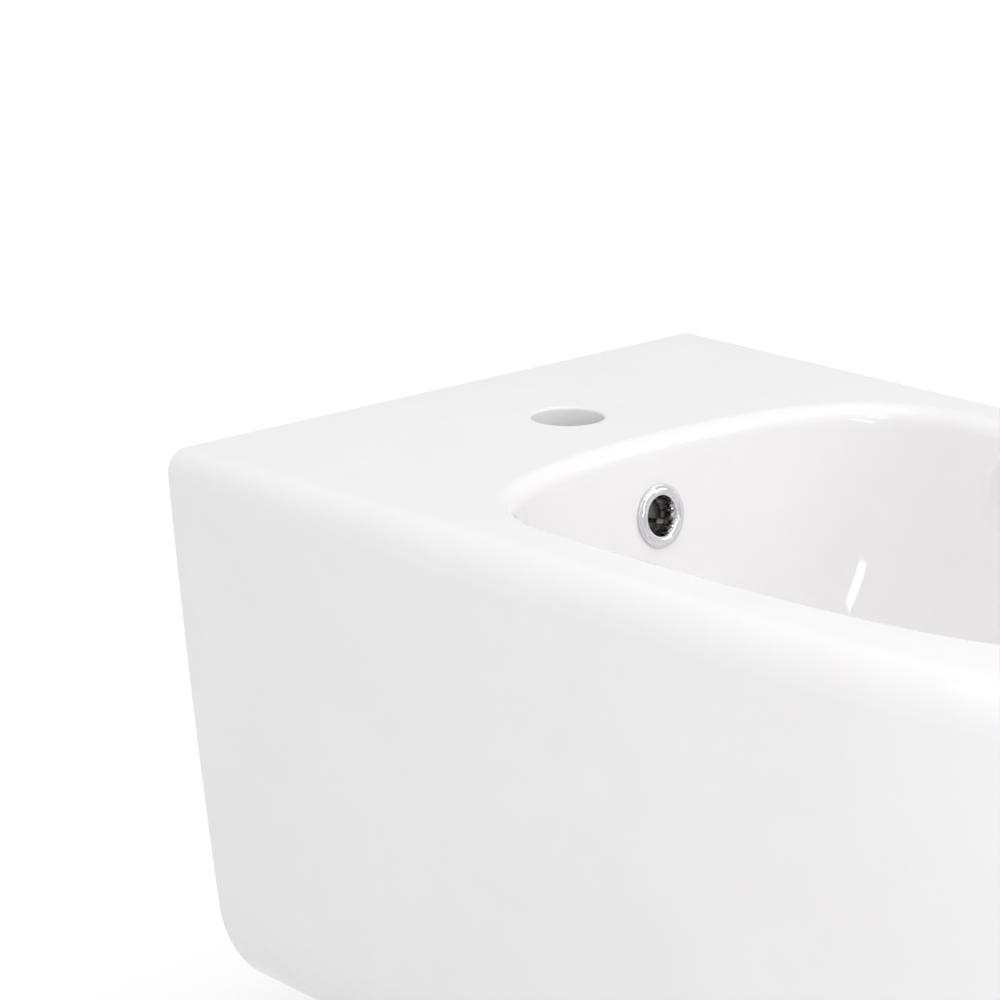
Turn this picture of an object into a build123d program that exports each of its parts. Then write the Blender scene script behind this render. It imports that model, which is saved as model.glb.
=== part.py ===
from build123d import *
import os
from math import cos, pi, radians, sin, sqrt, tan

# Wall-hung bidet in glazed ceramic, with its overflow ring, its push-to-close waste and its wall
# fixings. The origin is midway between the two fixing holes, on the face that meets the wall.
# +X points right as seen from the room, +Y into the wall and +Z up. All sizes are millimetres.

# Driving sizes of the ceramic body
body_width = 355.0
projection = 550.0
body_height = 293.0
deck_above_fixings = 80.0
side_wall = 9.0
deck_thickness = 16.0
back_wall = 16.0
straight_side = 215.0
side_taper = 0.005
rim_radius_at_wall = 11.5
rim_radius_at_side = 18.5
rim_radius_at_front = 24.0
side_draft_top = 4.0
side_draft_low = 6.9
side_hip_radius = 69.0
front_draft_top = 8.0
front_draft_low = 20.0
front_hip_radius = 120.0
front_fullness = 0.88
front_squareness = 0.98

# Driving sizes of the bowl
bowl_back = 139.5
bowl_half_width = 134.4
bowl_widest = 213.0
front_rim_width = 45.0
bowl_depth = 150.0
bowl_lean = 7.2
bowl_front_lean = 12.0
floor_roundness = 3.4
bowl_wall = 10.0
bowl_lip_radius = 9.0
back_flatness = 0.75
corner_fullness = 0.6
bowl_front_fullness = 0.65
bowl_front_squareness = 0.94
quarter_circle = 0.5523
bowl_wall_turn = 12.0

# Driving sizes of the holes and openings in the ceramic
tap_hole_radius = 17.5
tap_hole_from_wall = 82.2
tap_lip_radius = 1.5
overflow_depth = 36.6
overflow_hole_radius = 11.75
duct_half_width = 26.0
duct_front_wall = 12.5
duct_gap = 16.0
duct_wall = 10.0
duct_top_depth = 23.0
drain_from_wall = 265.0
drain_floor_radius = 36.0
drain_hole_radius = 23.0
drain_boss_radius = 37.0
drain_boss_stand = 1.5
fixing_spacing = 180.0
fixing_hole_radius = 10.0
lug_radius = 24.0
lug_length = 36.0
back_opening_width = 230.0
back_opening_top = 140.0
back_opening_bottom = 262.0
back_opening_corner = 28.0
base_opening_width = 150.0
base_opening_length = 300.0
base_opening_corner = 40.0

# Driving sizes of the overflow ring
ring_radius = 15.0
ring_edge_height = 0.9
ring_bead_height = 2.4
ring_bore_radius = 9.7
ring_sleeve_wall = 1.6
ring_sleeve_length = 21.0
ring_claws = 6
ring_claw_gap = 2.2
ring_claw_slot_start = 7.0
ring_barb = 0.7
ring_stand = 0.4

# Driving sizes of the waste and its seals
waste_flange_radius = 32.5
waste_flange_height = 3.0
waste_edge = 1.0
waste_seat_gap = 1.0
waste_tube_radius = 20.95
waste_bore_radius = 18.6
waste_length = 92.0
waste_throat_radius = 26.0
overflow_windows = 4
window_angle = 52.0
window_height = 13.0
spider_arms = 4
spider_arm_width = 3.0
spider_height = 8.0
spider_root = 0.5
hub_radius = 9.0
top_seal_height = 2.0
top_seal_inset = 1.0
cone_seal_height = 6.0
cone_seal_radius = 30.0
cone_seal_spigot = 3.0
cone_seal_spread = 2.0
cone_spigot_spread = 0.5
slip_washer_height = 2.0
tail_relief_depth = 0.8
tail_relief_length = 2.5
tail_thread_run = 2.0
backnut_height = 9.0
backnut_flats = 52.0
backnut_chamfer = 1.0

# Driving sizes of the plug and its push latch
plug_travel = 8.0
plug_radius = 30.5
plug_edge_height = 2.2
plug_crown = 3.0
plug_edge = 0.8
plug_seal_inner = 21.0
plug_seal_outer = 25.0
plug_seal_height = 2.6
plug_seal_groove = 1.2
plug_boss_radius = 6.5
plug_boss_length = 8.0
stem_top_radius = 4.0
stem_journal_radius = 4.5
stem_rod_radius = 3.0
stem_socket = 1.0
stem_overhang = 3.0
stem_end_chamfer = 0.5
piston_depth = 6.0
piston_height = 6.0
latch_ring_height = 3.0
latch_tooth_height = 1.5
latch_teeth = 4
latch_tooth_angle = 36.0
housing_radius = 10.0
housing_bore_radius = 8.0
housing_lower_bore_radius = 5.6
housing_floor = 3.0
housing_top_depth = 4.0
housing_chamfer = 0.8
spigot_radius = 5.0
spring_wire_radius = 0.5
spring_mean_radius = 4.2
spring_turns = 6
spring_room = 20.0
spring_seat_height = 1.5
clip_radius = 5.4
clip_height = 0.9
clip_groove_depth = 0.7
clip_mouth_share = 0.8

# Driving sizes of the wall fixings
stud_hole_radius = 6.5
sleeve_flange_radius = 16.0
sleeve_flange_height = 3.0
washer_radius = 17.0
washer_height = 2.5
nut_flats = 19.0
nut_height = 10.8
nut_bore_radius = 6.1
nut_chamfer = 1.0

# Clearances
press_gap = 0.02
running_gap = 0.05
slide_gap = 0.1
seat_gap = 0.3
hole_gap = 0.5
overcut = 5.0
search_margin = 1.0
level_margin = 0.01

# Heights and places that follow from the driving sizes
deck_z = deck_above_fixings
base_z = deck_z - body_height
floor_z = deck_z - bowl_depth
bowl_front = projection - front_rim_width
waste_seat_z = floor_z - waste_flange_height - top_seal_height
duct_skin = duct_front_wall + duct_gap
nut_face_z = floor_z - duct_skin - duct_wall - drain_boss_stand
fixing_sides = {"left": -1, "right": 1}
drain_axis = Location((0, -drain_from_wall, floor_z))


class WallProfile:
    """Upright profile of an outer wall: a draft that grows downwards, then a rounded hip."""

    def __init__(self, draft_top, draft_low, hip_radius, rim_radius):
        self.slope = tan(radians(draft_top))
        self.low = radians(draft_low)
        self.radius = hip_radius
        self.rim = rim_radius
        self.centre = body_height - hip_radius
        self.hip = self.centre + hip_radius * sin(self.low)
        self.bend = (tan(self.low) - self.slope) / (2 * self.hip)

    def draft(self, depth):
        """Distance drawn in by the draft alone, counted from the widest level under the rim."""
        return self.slope * (depth - self.rim) + self.bend * depth**2

    def inset(self, depth, skin):
        """Distance drawn in at a depth below the deck, for a face that lies skin inside the wall."""
        if depth <= self.hip:
            return self.draft(depth) + skin
        reach = max((self.radius - skin) ** 2 - (depth - self.centre) ** 2, 0)
        return self.draft(self.hip) + self.radius * cos(self.low) - sqrt(reach)


side_profile = WallProfile(side_draft_top, side_draft_low, side_hip_radius, rim_radius_at_wall)
front_profile = WallProfile(front_draft_top, front_draft_low, front_hip_radius, rim_radius_at_front)


def rim_rounding(depth, radius):
    """Distance that a rounded top edge of this radius draws in at a depth below the deck."""
    if depth >= radius:
        return 0.0
    return radius - sqrt(radius**2 - (radius - depth) ** 2)


def hull_section(depth, skin=0.0, back=0.0, rounded=True):
    """Level outline of the body: straight at the wall, long flat sides and a full rounded front."""
    side_in = side_profile.inset(depth, skin)
    front_in = front_profile.inset(depth, skin)
    roundings = [0.0, 0.0, 0.0]
    if rounded:
        radii = (rim_radius_at_wall, rim_radius_at_side, rim_radius_at_front)
        roundings = [rim_rounding(depth, radius) for radius in radii]
    half_back = body_width / 2 - side_in - side_taper * back - roundings[0]
    half_side = body_width / 2 - side_in - side_taper * straight_side - roundings[1]
    front = -projection + front_in + roundings[2]
    reach = -straight_side - front
    z = deck_z - depth
    corner = (half_side, -straight_side, z)
    lead = front_fullness * reach
    side_hold = (half_side - side_taper * lead, -straight_side - lead, z)
    front_hold = (front_squareness * half_side, front, z)
    right = [
        Line((half_back, -back, z), corner),
        Bezier(corner, side_hold, front_hold, (0, front, z)),
    ]
    left = [edge.mirror(Plane.YZ) for edge in right]
    return Face(Wire([Line((-half_back, -back, z), (half_back, -back, z)), *right, *left]))


def spaced(first, last, steps):
    """Evenly spaced values from first to last, both included."""
    return [first + (last - first) * i / steps for i in range(steps + 1)]


def hull_below(top, skin=0.0, back=0.0):
    """Solid of the body from a depth down to its base: a drafted wall and, under it, the hip."""
    hip_radius = side_hip_radius - skin
    hip_top = body_height - side_hip_radius
    wall = spaced(top, hip_top, 4)
    hip = [hip_top + hip_radius * sin(turn) for turn in spaced(0, pi / 2, 6)]
    rounded = skin == 0
    return loft([hull_section(d, skin, back, rounded) for d in wall]) + loft(
        [hull_section(d, skin, back, rounded) for d in hip]
    )


def bowl_inset(sunk, run, lean):
    """Distance that the bowl has drawn in at a share of its depth: a lean, then a round floor."""
    drawn = 1 - max(1 - sunk**floor_roundness, 0) ** (1 / floor_roundness)
    leaned = tan(radians(lean)) * bowl_depth
    return leaned * sunk + (run - leaned) * drawn


def bowl_back_at(sunk):
    """Place of the bowl's back wall, on the centre line, at a share of the bowl's depth."""
    run = drain_from_wall - drain_floor_radius - bowl_back
    return -bowl_back - bowl_inset(sunk, run, bowl_lean)


def bowl_section(sunk, skin=0.0):
    """Level outline of the bowl at a share of its depth, from the mouth to the flat floor."""
    depth = (bowl_depth + skin) * sunk
    half = bowl_half_width - bowl_inset(sunk, bowl_half_width - drain_floor_radius, bowl_lean) + skin
    back = bowl_back_at(sunk) + skin
    front_run = bowl_front - drain_from_wall - drain_floor_radius
    front = -bowl_front + bowl_inset(sunk, front_run, bowl_front_lean) - skin
    drawn = bowl_inset(sunk, 1, 0)
    widest = -bowl_widest + (bowl_widest - drain_from_wall) * drawn
    shapes = (back_flatness, corner_fullness, bowl_front_fullness, bowl_front_squareness)
    flat, full, lead, square = [s + (quarter_circle - s) * drawn for s in shapes]
    z = deck_z - depth
    side = (half, widest, z)
    right = [
        Bezier((0, back, z), (flat * half, back, z), (half, widest + full * (back - widest), z), side),
        Bezier(side, (half, widest + lead * (front - widest), z), (square * half, front, z),
               (0, front, z)),
    ]
    left = [edge.mirror(Plane.YZ) for edge in right]
    return Face(Wire([*right, *left]))


def bowl_solid(skin=0.0):
    """Solid that fills the bowl, grown outwards by skin."""
    turns = spaced(radians(bowl_wall_turn), pi / 2, 7)
    rounded = [sin(turn) ** (2 / floor_roundness) for turn in turns]
    steep = spaced(0, rounded[0], 4)
    return loft([bowl_section(sunk, skin) for sunk in steep[:-1] + rounded])


def corridor(half_width, top_depth, end):
    """Upright block under the bowl's centre line that limits the overflow duct."""
    length = drain_from_wall + end
    height = deck_z - top_depth - base_z
    centre = (0, -length / 2, base_z + height / 2)
    return Pos(*centre) * Box(2 * half_width, length, height)


def wall_frame():
    """Plane on the bowl's back wall at the overflow, facing into the bowl."""
    above, below = [(overflow_depth + step) / bowl_depth for step in (-ring_radius, ring_radius)]
    fall = bowl_back_at(above) - bowl_back_at(below)
    place = (0, (bowl_back_at(above) + bowl_back_at(below)) / 2, deck_z - overflow_depth)
    return Plane(origin=place, x_dir=(1, 0, 0), z_dir=(0, -2 * ring_radius, fall))


def disc(radius, bottom, top, x=0.0, y=0.0):
    """Upright cylinder between two heights."""
    return Pos(x, y, (bottom + top) / 2) * Cylinder(radius, top - bottom)


def along_wall_axis(radius, start, end, x):
    """Cylinder along +Y at the height of the fixings."""
    return Pos(x, (start + end) / 2, 0) * Rot(90, 0, 0) * Cylinder(radius, end - start)


def deck_edges(shape):
    """Edges of a shape that lie in the level of the deck."""
    return shape.edges().filter_by_position(Axis.Z, deck_z - level_margin, deck_z + level_margin)


def in_mouth(edge):
    """Whether an edge at the deck's level belongs to the bowl's mouth, and not to the outer rim."""
    centre = edge.center()
    within = -bowl_front - search_margin < centre.Y < search_margin - bowl_back
    return within and abs(centre.X) < bowl_half_width


def ceramic_body():
    """Cast body: outer shell, deck, bowl, overflow duct, waste boss and the two fixing lugs."""
    rim_depths = [rim_radius_at_front * (1 - cos(turn)) for turn in spaced(0, pi / 2, 8)]
    hull = loft([hull_section(d) for d in rim_depths]) + hull_below(rim_radius_at_front)
    cavity = hull_below(deck_thickness, side_wall, back_wall)
    duct_shell = bowl_solid(duct_skin + duct_wall)
    duct_shell &= corridor(duct_half_width + duct_wall, 0, duct_half_width + duct_wall)
    boss = disc(drain_boss_radius, nut_face_z, floor_z, y=-drain_from_wall)
    room = cavity - bowl_solid(bowl_wall) - duct_shell - boss
    for side in fixing_sides.values():
        room -= along_wall_axis(lug_radius, -lug_length, 0, side * fixing_spacing / 2)
    body = hull - room - bowl_solid()
    body = fillet([edge for edge in deck_edges(body) if in_mouth(edge)], bowl_lip_radius)
    duct = bowl_solid(duct_skin) - bowl_solid(duct_front_wall)
    duct &= corridor(duct_half_width, duct_top_depth, duct_half_width)
    body -= duct
    body -= disc(tap_hole_radius, deck_z - deck_thickness - overcut, deck_z + overcut,
                 y=-tap_hole_from_wall)
    body = fillet(deck_edges(body).filter_by(GeomType.CIRCLE), tap_lip_radius)
    body -= wall_frame().location * Cylinder(overflow_hole_radius, 2 * duct_front_wall + duct_gap)
    body -= disc(waste_flange_radius + waste_seat_gap, waste_seat_z, floor_z + overcut,
                 y=-drain_from_wall)
    body -= disc(drain_hole_radius, nut_face_z - overcut, floor_z, y=-drain_from_wall)
    for side in fixing_sides.values():
        body -= along_wall_axis(fixing_hole_radius, -lug_length - overcut, overcut,
                                side * fixing_spacing / 2)
    return body - back_opening() - base_opening()


def back_opening():
    """Arched opening in the wall face for the waste pipe and the supplies."""
    height = back_opening_bottom - back_opening_top
    shape = RectangleRounded(back_opening_width, height, back_opening_corner)
    middle = deck_z - (back_opening_top + back_opening_bottom) / 2
    tool = extrude(shape, 2 * back_wall, both=True)
    return Pos(0, 0, middle) * Rot(90, 0, 0) * tool


def base_opening():
    """Service opening in the underside, open towards the wall."""
    length = base_opening_length + 2 * base_opening_corner
    shape = RectangleRounded(base_opening_width, length, base_opening_corner)
    centre = 2 * base_opening_corner - length / 2
    top = deck_z - back_opening_bottom + back_opening_corner
    return Pos(0, centre, base_z - overcut) * extrude(shape, top - base_z + overcut)


def overflow_ring():
    """Chromed trim ring with a rounded bead and a claw sleeve that snaps into the ceramic."""
    sleeve = ring_bore_radius + ring_sleeve_wall
    bead = (ring_radius + ring_bore_radius) / 2
    foot = duct_front_wall + ring_stand + 2 * hole_gap
    outline = Polyline(
        (ring_bore_radius, ring_bead_height / 2), (ring_bore_radius, -ring_sleeve_length),
        (sleeve, -ring_sleeve_length), (sleeve + ring_barb, -foot - ring_barb),
        (sleeve, -foot), (sleeve, 0), (ring_radius, 0), (ring_radius, ring_edge_height),
        (ring_radius - ring_edge_height, ring_edge_height),
    )
    crown = ThreePointArc(outline @ 1, (bead, ring_bead_height), outline @ 0)
    ring = revolve(Plane.XZ * make_face([outline, crown]), Axis.Z)
    gap_length = ring_sleeve_length - ring_claw_slot_start + overcut
    gap = Box(ring_claw_gap, 2 * (ring_sleeve_wall + ring_barb), gap_length)
    middle = -ring_claw_slot_start - gap_length / 2
    for i in range(ring_claws):
        ring -= Rot(0, 0, 360 / ring_claws * (i + 0.5)) * Pos(0, sleeve, middle) * gap
    return wall_frame().location * Pos(0, 0, ring_stand) * ring


def spun(*points):
    """Solid of revolution about Z from the corners of its half section, given as radius, height."""
    return revolve(Plane.XZ * make_face(Polyline(*points, close=True)), Axis.Z)


def waste_body():
    """Flanged waste with overflow windows, a threaded tail and a spider that holds the latch."""
    tail = -waste_length
    nut_low = nut_face_z - floor_z - cone_seal_height - slip_washer_height - backnut_height
    relief = nut_low - tail_thread_run
    neck = waste_tube_radius - tail_relief_depth
    shell = spun(
        (waste_flange_radius, -waste_edge), (waste_flange_radius - waste_edge, 0),
        (waste_throat_radius, 0), (waste_bore_radius, -waste_flange_height - waste_edge),
        (waste_bore_radius, tail), (waste_tube_radius - waste_edge, tail),
        (waste_tube_radius, tail + waste_edge),
        (waste_tube_radius, relief - tail_relief_length), (neck, relief - tail_relief_length),
        (neck, relief), (waste_tube_radius, relief),
        (waste_tube_radius, -waste_flange_height), (waste_flange_radius, -waste_flange_height),
    )
    window_z = -duct_front_wall - duct_gap / 2
    wedge_reach = 2 * waste_tube_radius
    half_chord = wedge_reach * tan(radians(window_angle / 2))
    wedge = Polyline((0, 0), (wedge_reach, -half_chord), (wedge_reach, half_chord), close=True)
    window = extrude(make_face(wedge), window_height / 2, both=True)
    window -= Cylinder(hub_radius, 2 * window_height)
    for i in range(overflow_windows):
        shell -= Pos(0, 0, window_z) * Rot(0, 0, 360 / overflow_windows * (i + 0.5)) * window
    arm_length = waste_bore_radius + spider_root
    arm_z = latch_levels()[-1] - housing_floor - spider_height / 2
    spider = Pos(0, 0, arm_z) * Cylinder(hub_radius, spider_height)
    for i in range(spider_arms):
        arm = Pos(arm_length / 2, 0, arm_z) * Box(arm_length, spider_arm_width, spider_height)
        spider += Rot(0, 0, 360 / spider_arms * i) * arm
    spider -= Pos(0, 0, arm_z) * Cylinder(spigot_radius + press_gap, 2 * spider_height)
    return drain_axis * (shell + spider)


def flat_ring(outer, inner, bottom, top):
    """Flat ring about the drain axis, between two heights below the bowl's floor."""
    ring = Cylinder(outer, top - bottom) - Cylinder(inner, 2 * (top - bottom))
    return drain_axis * Pos(0, 0, (bottom + top) / 2) * ring


def waste_top_seal():
    """Soft ring under the waste's flange."""
    top = -waste_flange_height
    return flat_ring(waste_flange_radius - top_seal_inset, drain_hole_radius + hole_gap,
                     top - top_seal_height, top)


def waste_cone_seal():
    """Tapered rubber seal round the tail, with a spigot that enters the ceramic's hole."""
    face = nut_face_z - floor_z
    spigot = drain_hole_radius - seat_gap
    inner = waste_tube_radius + running_gap
    seal = spun(
        (inner, face + cone_seal_spigot), (spigot - cone_spigot_spread, face + cone_seal_spigot),
        (spigot, face), (cone_seal_radius - cone_seal_spread, face),
        (cone_seal_radius, face - cone_seal_height), (inner, face - cone_seal_height),
    )
    return drain_axis * seal


def waste_slip_washer():
    """Smooth washer that lets the backnut turn without twisting the rubber."""
    top = nut_face_z - floor_z - cone_seal_height
    return flat_ring(cone_seal_radius, waste_tube_radius + running_gap,
                     top - slip_washer_height, top)


def waste_backnut():
    """Hexagonal backnut that pulls the waste down on its seals."""
    top = nut_face_z - floor_z - cone_seal_height - slip_washer_height
    nut = extrude(RegularPolygon(backnut_flats / 2, 6, major_radius=False), backnut_height)
    nut -= Cylinder(waste_tube_radius + running_gap, 2 * backnut_height + overcut)
    corner = backnut_flats / sqrt(3)
    cone = Cone(corner + backnut_height, corner - backnut_chamfer, backnut_height)
    nut &= Pos(0, 0, backnut_height / 2) * cone
    return drain_axis * Pos(0, 0, top - backnut_height) * nut


def plug_under():
    """Height of the plug's underside above the waste's flange when the waste is open."""
    return plug_travel + slide_gap + plug_seal_height - plug_seal_groove


def plug_cap():
    """Domed cap with a seal groove and a boss that takes the stem."""
    low = plug_under()
    edge = low + plug_edge_height
    outline = Polyline((0, edge + plug_crown), (0, low), (plug_radius - plug_edge, low),
                       (plug_radius, low + plug_edge), (plug_radius, edge))
    dome = TangentArc(outline @ 0, outline @ 1, tangent=(1, 0))
    cap = revolve(Plane.XZ * make_face([outline, dome]), Axis.Z)
    groove = Cylinder(plug_seal_outer + press_gap, 2 * plug_seal_groove)
    groove -= Cylinder(plug_seal_inner - press_gap, 3 * plug_seal_groove)
    cap -= Pos(0, 0, low) * groove
    boss_bottom = low - plug_boss_length
    cap += disc(plug_boss_radius, boss_bottom, low + stem_socket)
    cap -= disc(stem_top_radius + press_gap, boss_bottom - overcut, low + stem_socket)
    return drain_axis * cap


def plug_seal():
    """Rubber ring set in the cap's groove that closes on the waste's flange."""
    top = plug_under() + plug_seal_groove
    return flat_ring(plug_seal_outer, plug_seal_inner, top - plug_seal_height, top)


def latch_levels():
    """Heights of the latch's parts above the waste's flange when the waste is open."""
    piston_top = -piston_depth
    ring_top = piston_top - piston_height
    ring_bottom = ring_top - latch_ring_height
    seat_top = ring_bottom - slide_gap
    shelf = ring_bottom - latch_tooth_height - plug_travel - seat_gap
    spring_top = seat_top - spring_seat_height
    spring_floor = spring_top - spring_room
    return piston_top, ring_top, ring_bottom, seat_top, shelf, spring_top, spring_floor


def plug_stem():
    """Turned stem: shank in the cap, guide piston, journal for the latch ring, and long rod."""
    piston_top, ring_top, _, seat_top, _, _, spring_floor = latch_levels()
    end = spring_floor - housing_floor - spider_height - clip_height - stem_overhang
    clip_top = spring_floor - housing_floor - spider_height - slide_gap
    groove = stem_rod_radius - clip_groove_depth
    stem = spun(
        (0, plug_under() + stem_socket), (stem_top_radius, plug_under() + stem_socket),
        (stem_top_radius, piston_top),
        (housing_bore_radius - running_gap, piston_top),
        (housing_bore_radius - running_gap, ring_top + slide_gap),
        (stem_journal_radius, ring_top + slide_gap), (stem_journal_radius, seat_top),
        (stem_rod_radius, seat_top), (stem_rod_radius, clip_top), (groove, clip_top),
        (groove, clip_top - clip_height), (stem_rod_radius, clip_top - clip_height),
        (stem_rod_radius, end + stem_end_chamfer), (stem_rod_radius - stem_end_chamfer, end),
        (0, end),
    )
    return drain_axis * stem


def stem_clip():
    """Retaining clip, open on one side, that stops the stem under the waste's spider."""
    top = latch_levels()[-1] - housing_floor - spider_height - slide_gap
    groove = stem_rod_radius - clip_groove_depth
    clip = Cylinder(clip_radius, clip_height)
    clip -= Cylinder(groove + press_gap, 2 * clip_height)
    mouth = 2 * clip_mouth_share * groove
    clip -= Pos(clip_radius, 0, 0) * Box(2 * clip_radius, mouth, 2 * clip_height)
    return drain_axis * Pos(0, 0, top - clip_height / 2) * clip


def ramp_teeth(inner, outer, base, rise):
    """Ring of ramped teeth that stand on a level; a negative rise makes them hang from it."""
    middle = (inner + outer) / 2
    half = middle * tan(radians(latch_tooth_angle / 2))
    ramp = Polyline((-half, 0), (half, 0), (half, rise), close=True)
    tooth = extrude(Plane.XZ * make_face(ramp), outer + overcut)
    low, high = sorted((base, base + rise))
    band = disc(outer, low, high) - disc(inner, low - overcut, high + overcut)
    step = 360 / latch_teeth
    teeth = Part() + [Pos(0, 0, base) * Rot(0, 0, step * i) * tooth for i in range(latch_teeth)]
    return band & teeth


def latch_ring():
    """Ring with ramped teeth that steps round on the stem as the plug is pressed."""
    _, ring_top, ring_bottom, _, _, _, _ = latch_levels()
    outer = housing_bore_radius - slide_gap
    ring = disc(outer, ring_bottom, ring_top)
    ring -= disc(stem_journal_radius + running_gap, ring_bottom - overcut, ring_top + overcut)
    inner = housing_lower_bore_radius + slide_gap
    teeth = ramp_teeth(inner, outer, ring_bottom, -latch_tooth_height)
    return drain_axis * (ring + teeth)


def latch_housing():
    """Cartridge screwed into the spider: upper bore, toothed shelf, spring chamber and floor."""
    _, _, _, _, shelf, _, spring_floor = latch_levels()
    top = -housing_top_depth
    bottom = spring_floor - housing_floor
    low = bottom - spider_height
    bore = stem_rod_radius + running_gap
    shell = spun(
        (housing_bore_radius, top), (housing_bore_radius, shelf), (housing_lower_bore_radius, shelf),
        (housing_lower_bore_radius, spring_floor), (bore, spring_floor), (bore, low),
        (spigot_radius, low), (spigot_radius, bottom), (housing_radius, bottom),
        (housing_radius, top - housing_chamfer), (housing_radius - housing_chamfer, top),
    )
    teeth = ramp_teeth(housing_lower_bore_radius, housing_bore_radius, shelf, latch_tooth_height)
    return drain_axis * (shell + teeth)


def spring_seat():
    """Small washer under the stem's journal that carries the latch ring and takes the spring."""
    _, _, _, seat_top, _, spring_top, _ = latch_levels()
    return flat_ring(housing_lower_bore_radius - seat_gap, stem_rod_radius + press_gap,
                     spring_top, seat_top)


def latch_spring():
    """Compression spring that lifts the plug, wound in one wire with its ends a hair off the seats."""
    _, _, _, _, _, spring_top, spring_floor = latch_levels()
    start = spring_floor + spring_wire_radius + slide_gap
    height = spring_top - spring_wire_radius - slide_gap - start
    path = Helix(height / spring_turns, height, spring_mean_radius, center=(0, 0, start))
    wire = sweep(Plane(path @ 0, z_dir=path % 0) * Circle(spring_wire_radius), path, is_frenet=True)
    return drain_axis * wire


def fixing_sleeve(side):
    """Flanged plastic sleeve that keeps the wall stud off the ceramic."""
    x = side * fixing_spacing / 2
    sleeve = along_wall_axis(fixing_hole_radius - seat_gap, -lug_length, 0, x)
    sleeve += along_wall_axis(sleeve_flange_radius, -lug_length - sleeve_flange_height,
                              -lug_length, x)
    return sleeve - along_wall_axis(stud_hole_radius, -2 * lug_length, overcut, x)


def fixing_washer(side):
    """Steel washer on the sleeve's flange."""
    x = side * fixing_spacing / 2
    start = -lug_length - sleeve_flange_height
    washer = along_wall_axis(washer_radius, start - washer_height, start, x)
    return washer - along_wall_axis(stud_hole_radius, -2 * lug_length, overcut, x)


def fixing_nut(side):
    """Hexagonal nut that clamps the body to its wall stud."""
    x = side * fixing_spacing / 2
    face = -lug_length - sleeve_flange_height - washer_height
    nut = extrude(RegularPolygon(nut_flats / 2, 6, major_radius=False), nut_height)
    corners = nut_flats / sqrt(3)
    cone = Cone(corners + nut_height - nut_chamfer, corners - nut_chamfer, nut_height)
    nut &= Pos(0, 0, nut_height / 2) * cone
    nut -= Cylinder(nut_bore_radius, 2 * nut_height + overcut)
    return Pos(x, face, 0) * Rot(90, 0, 0) * nut


def write(node, shape):
    """Write one named piece to the parts folder."""
    export_step(shape, f"parts/{node}.step")


os.makedirs("parts", exist_ok=True)
write("ceramic_body", ceramic_body())
write("overflow_ring", overflow_ring())
write("waste_body", waste_body())
write("waste_top_seal", waste_top_seal())
write("waste_cone_seal", waste_cone_seal())
write("waste_slip_washer", waste_slip_washer())
write("waste_backnut", waste_backnut())
write("plug_cap", plug_cap())
write("plug_seal", plug_seal())
write("plug_stem", plug_stem())
write("stem_clip", stem_clip())
write("latch_housing", latch_housing())
write("latch_ring", latch_ring())
write("spring_seat", spring_seat())
write("latch_spring", latch_spring())
for name, side in fixing_sides.items():
    write(f"fixing_sleeve_{name}", fixing_sleeve(side))
    write(f"fixing_washer_{name}", fixing_washer(side))
    write(f"fixing_nut_{name}", fixing_nut(side))
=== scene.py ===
# %% [markdown]
# # A wall-hung bidet, dressed for its picture
#
# The object is a bidet cast in white glazed ceramic, held to the wall by two hidden studs. Its deck
# carries a bare tap hole, its bowl drains through a push-to-close waste, and a small chrome ring marks
# the overflow. The exact solids are loaded first as a fixed frame. This notebook then gives each of
# them either a better material or a finer mesh that stands in the same place. Most sizes are written
# in millimetres, and MM turns them into the metres that Blender counts in.

# %% Load the frame
import math

import bmesh
import bpy
import numpy as np
from mathutils import Matrix, Vector, geometry
from mathutils.bvhtree import BVHTree


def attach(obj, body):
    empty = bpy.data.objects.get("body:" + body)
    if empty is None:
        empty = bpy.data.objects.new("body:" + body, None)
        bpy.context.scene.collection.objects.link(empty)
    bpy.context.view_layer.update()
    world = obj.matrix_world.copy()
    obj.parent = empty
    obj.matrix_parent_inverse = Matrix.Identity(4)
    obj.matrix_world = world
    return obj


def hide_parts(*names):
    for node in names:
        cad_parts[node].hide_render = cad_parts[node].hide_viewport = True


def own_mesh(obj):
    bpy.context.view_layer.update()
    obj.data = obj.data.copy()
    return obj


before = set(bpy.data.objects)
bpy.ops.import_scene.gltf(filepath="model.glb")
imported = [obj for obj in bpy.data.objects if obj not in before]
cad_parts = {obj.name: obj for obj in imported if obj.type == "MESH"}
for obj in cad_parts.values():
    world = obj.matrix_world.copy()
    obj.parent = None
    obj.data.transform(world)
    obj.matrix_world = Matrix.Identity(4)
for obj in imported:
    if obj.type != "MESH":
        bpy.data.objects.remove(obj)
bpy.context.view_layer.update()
MM = 0.001

# %% [markdown]
# ## The camera
#
# The picture was taken from the front left, a little above the deck, with a long lens close to the
# object. A camera can be placed by eye, or solved from edges of known size. It was solved here: the
# round tap hole, the straight back edge and the two long sides fix its place, turn and lens.

# %% Camera
CAMERA_PLACE = (-0.99137, -1.10148, 0.45171)
CAMERA_YAW = math.radians(47.111)
CAMERA_PITCH = math.radians(16.22)
CAMERA_ROLL = math.radians(-0.272)
CAMERA_LENS = 110.09
SENSOR_WIDTH = 36.0

camera_data = bpy.data.cameras.new("camera")
camera_data.lens = CAMERA_LENS
camera_data.sensor_width = SENSOR_WIDTH
camera = bpy.data.objects.new("camera", camera_data)
bpy.context.scene.collection.objects.link(camera)
turn = Matrix.Rotation(CAMERA_YAW - math.pi / 2, 4, "Z")
turn = turn @ Matrix.Rotation(math.pi / 2 - CAMERA_PITCH, 4, "X")
camera.matrix_world = Matrix.Translation(CAMERA_PLACE) @ turn @ Matrix.Rotation(CAMERA_ROLL, 4, "Z")
bpy.context.scene.camera = camera
print("camera at", CAMERA_PLACE, "lens", CAMERA_LENS)

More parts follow.
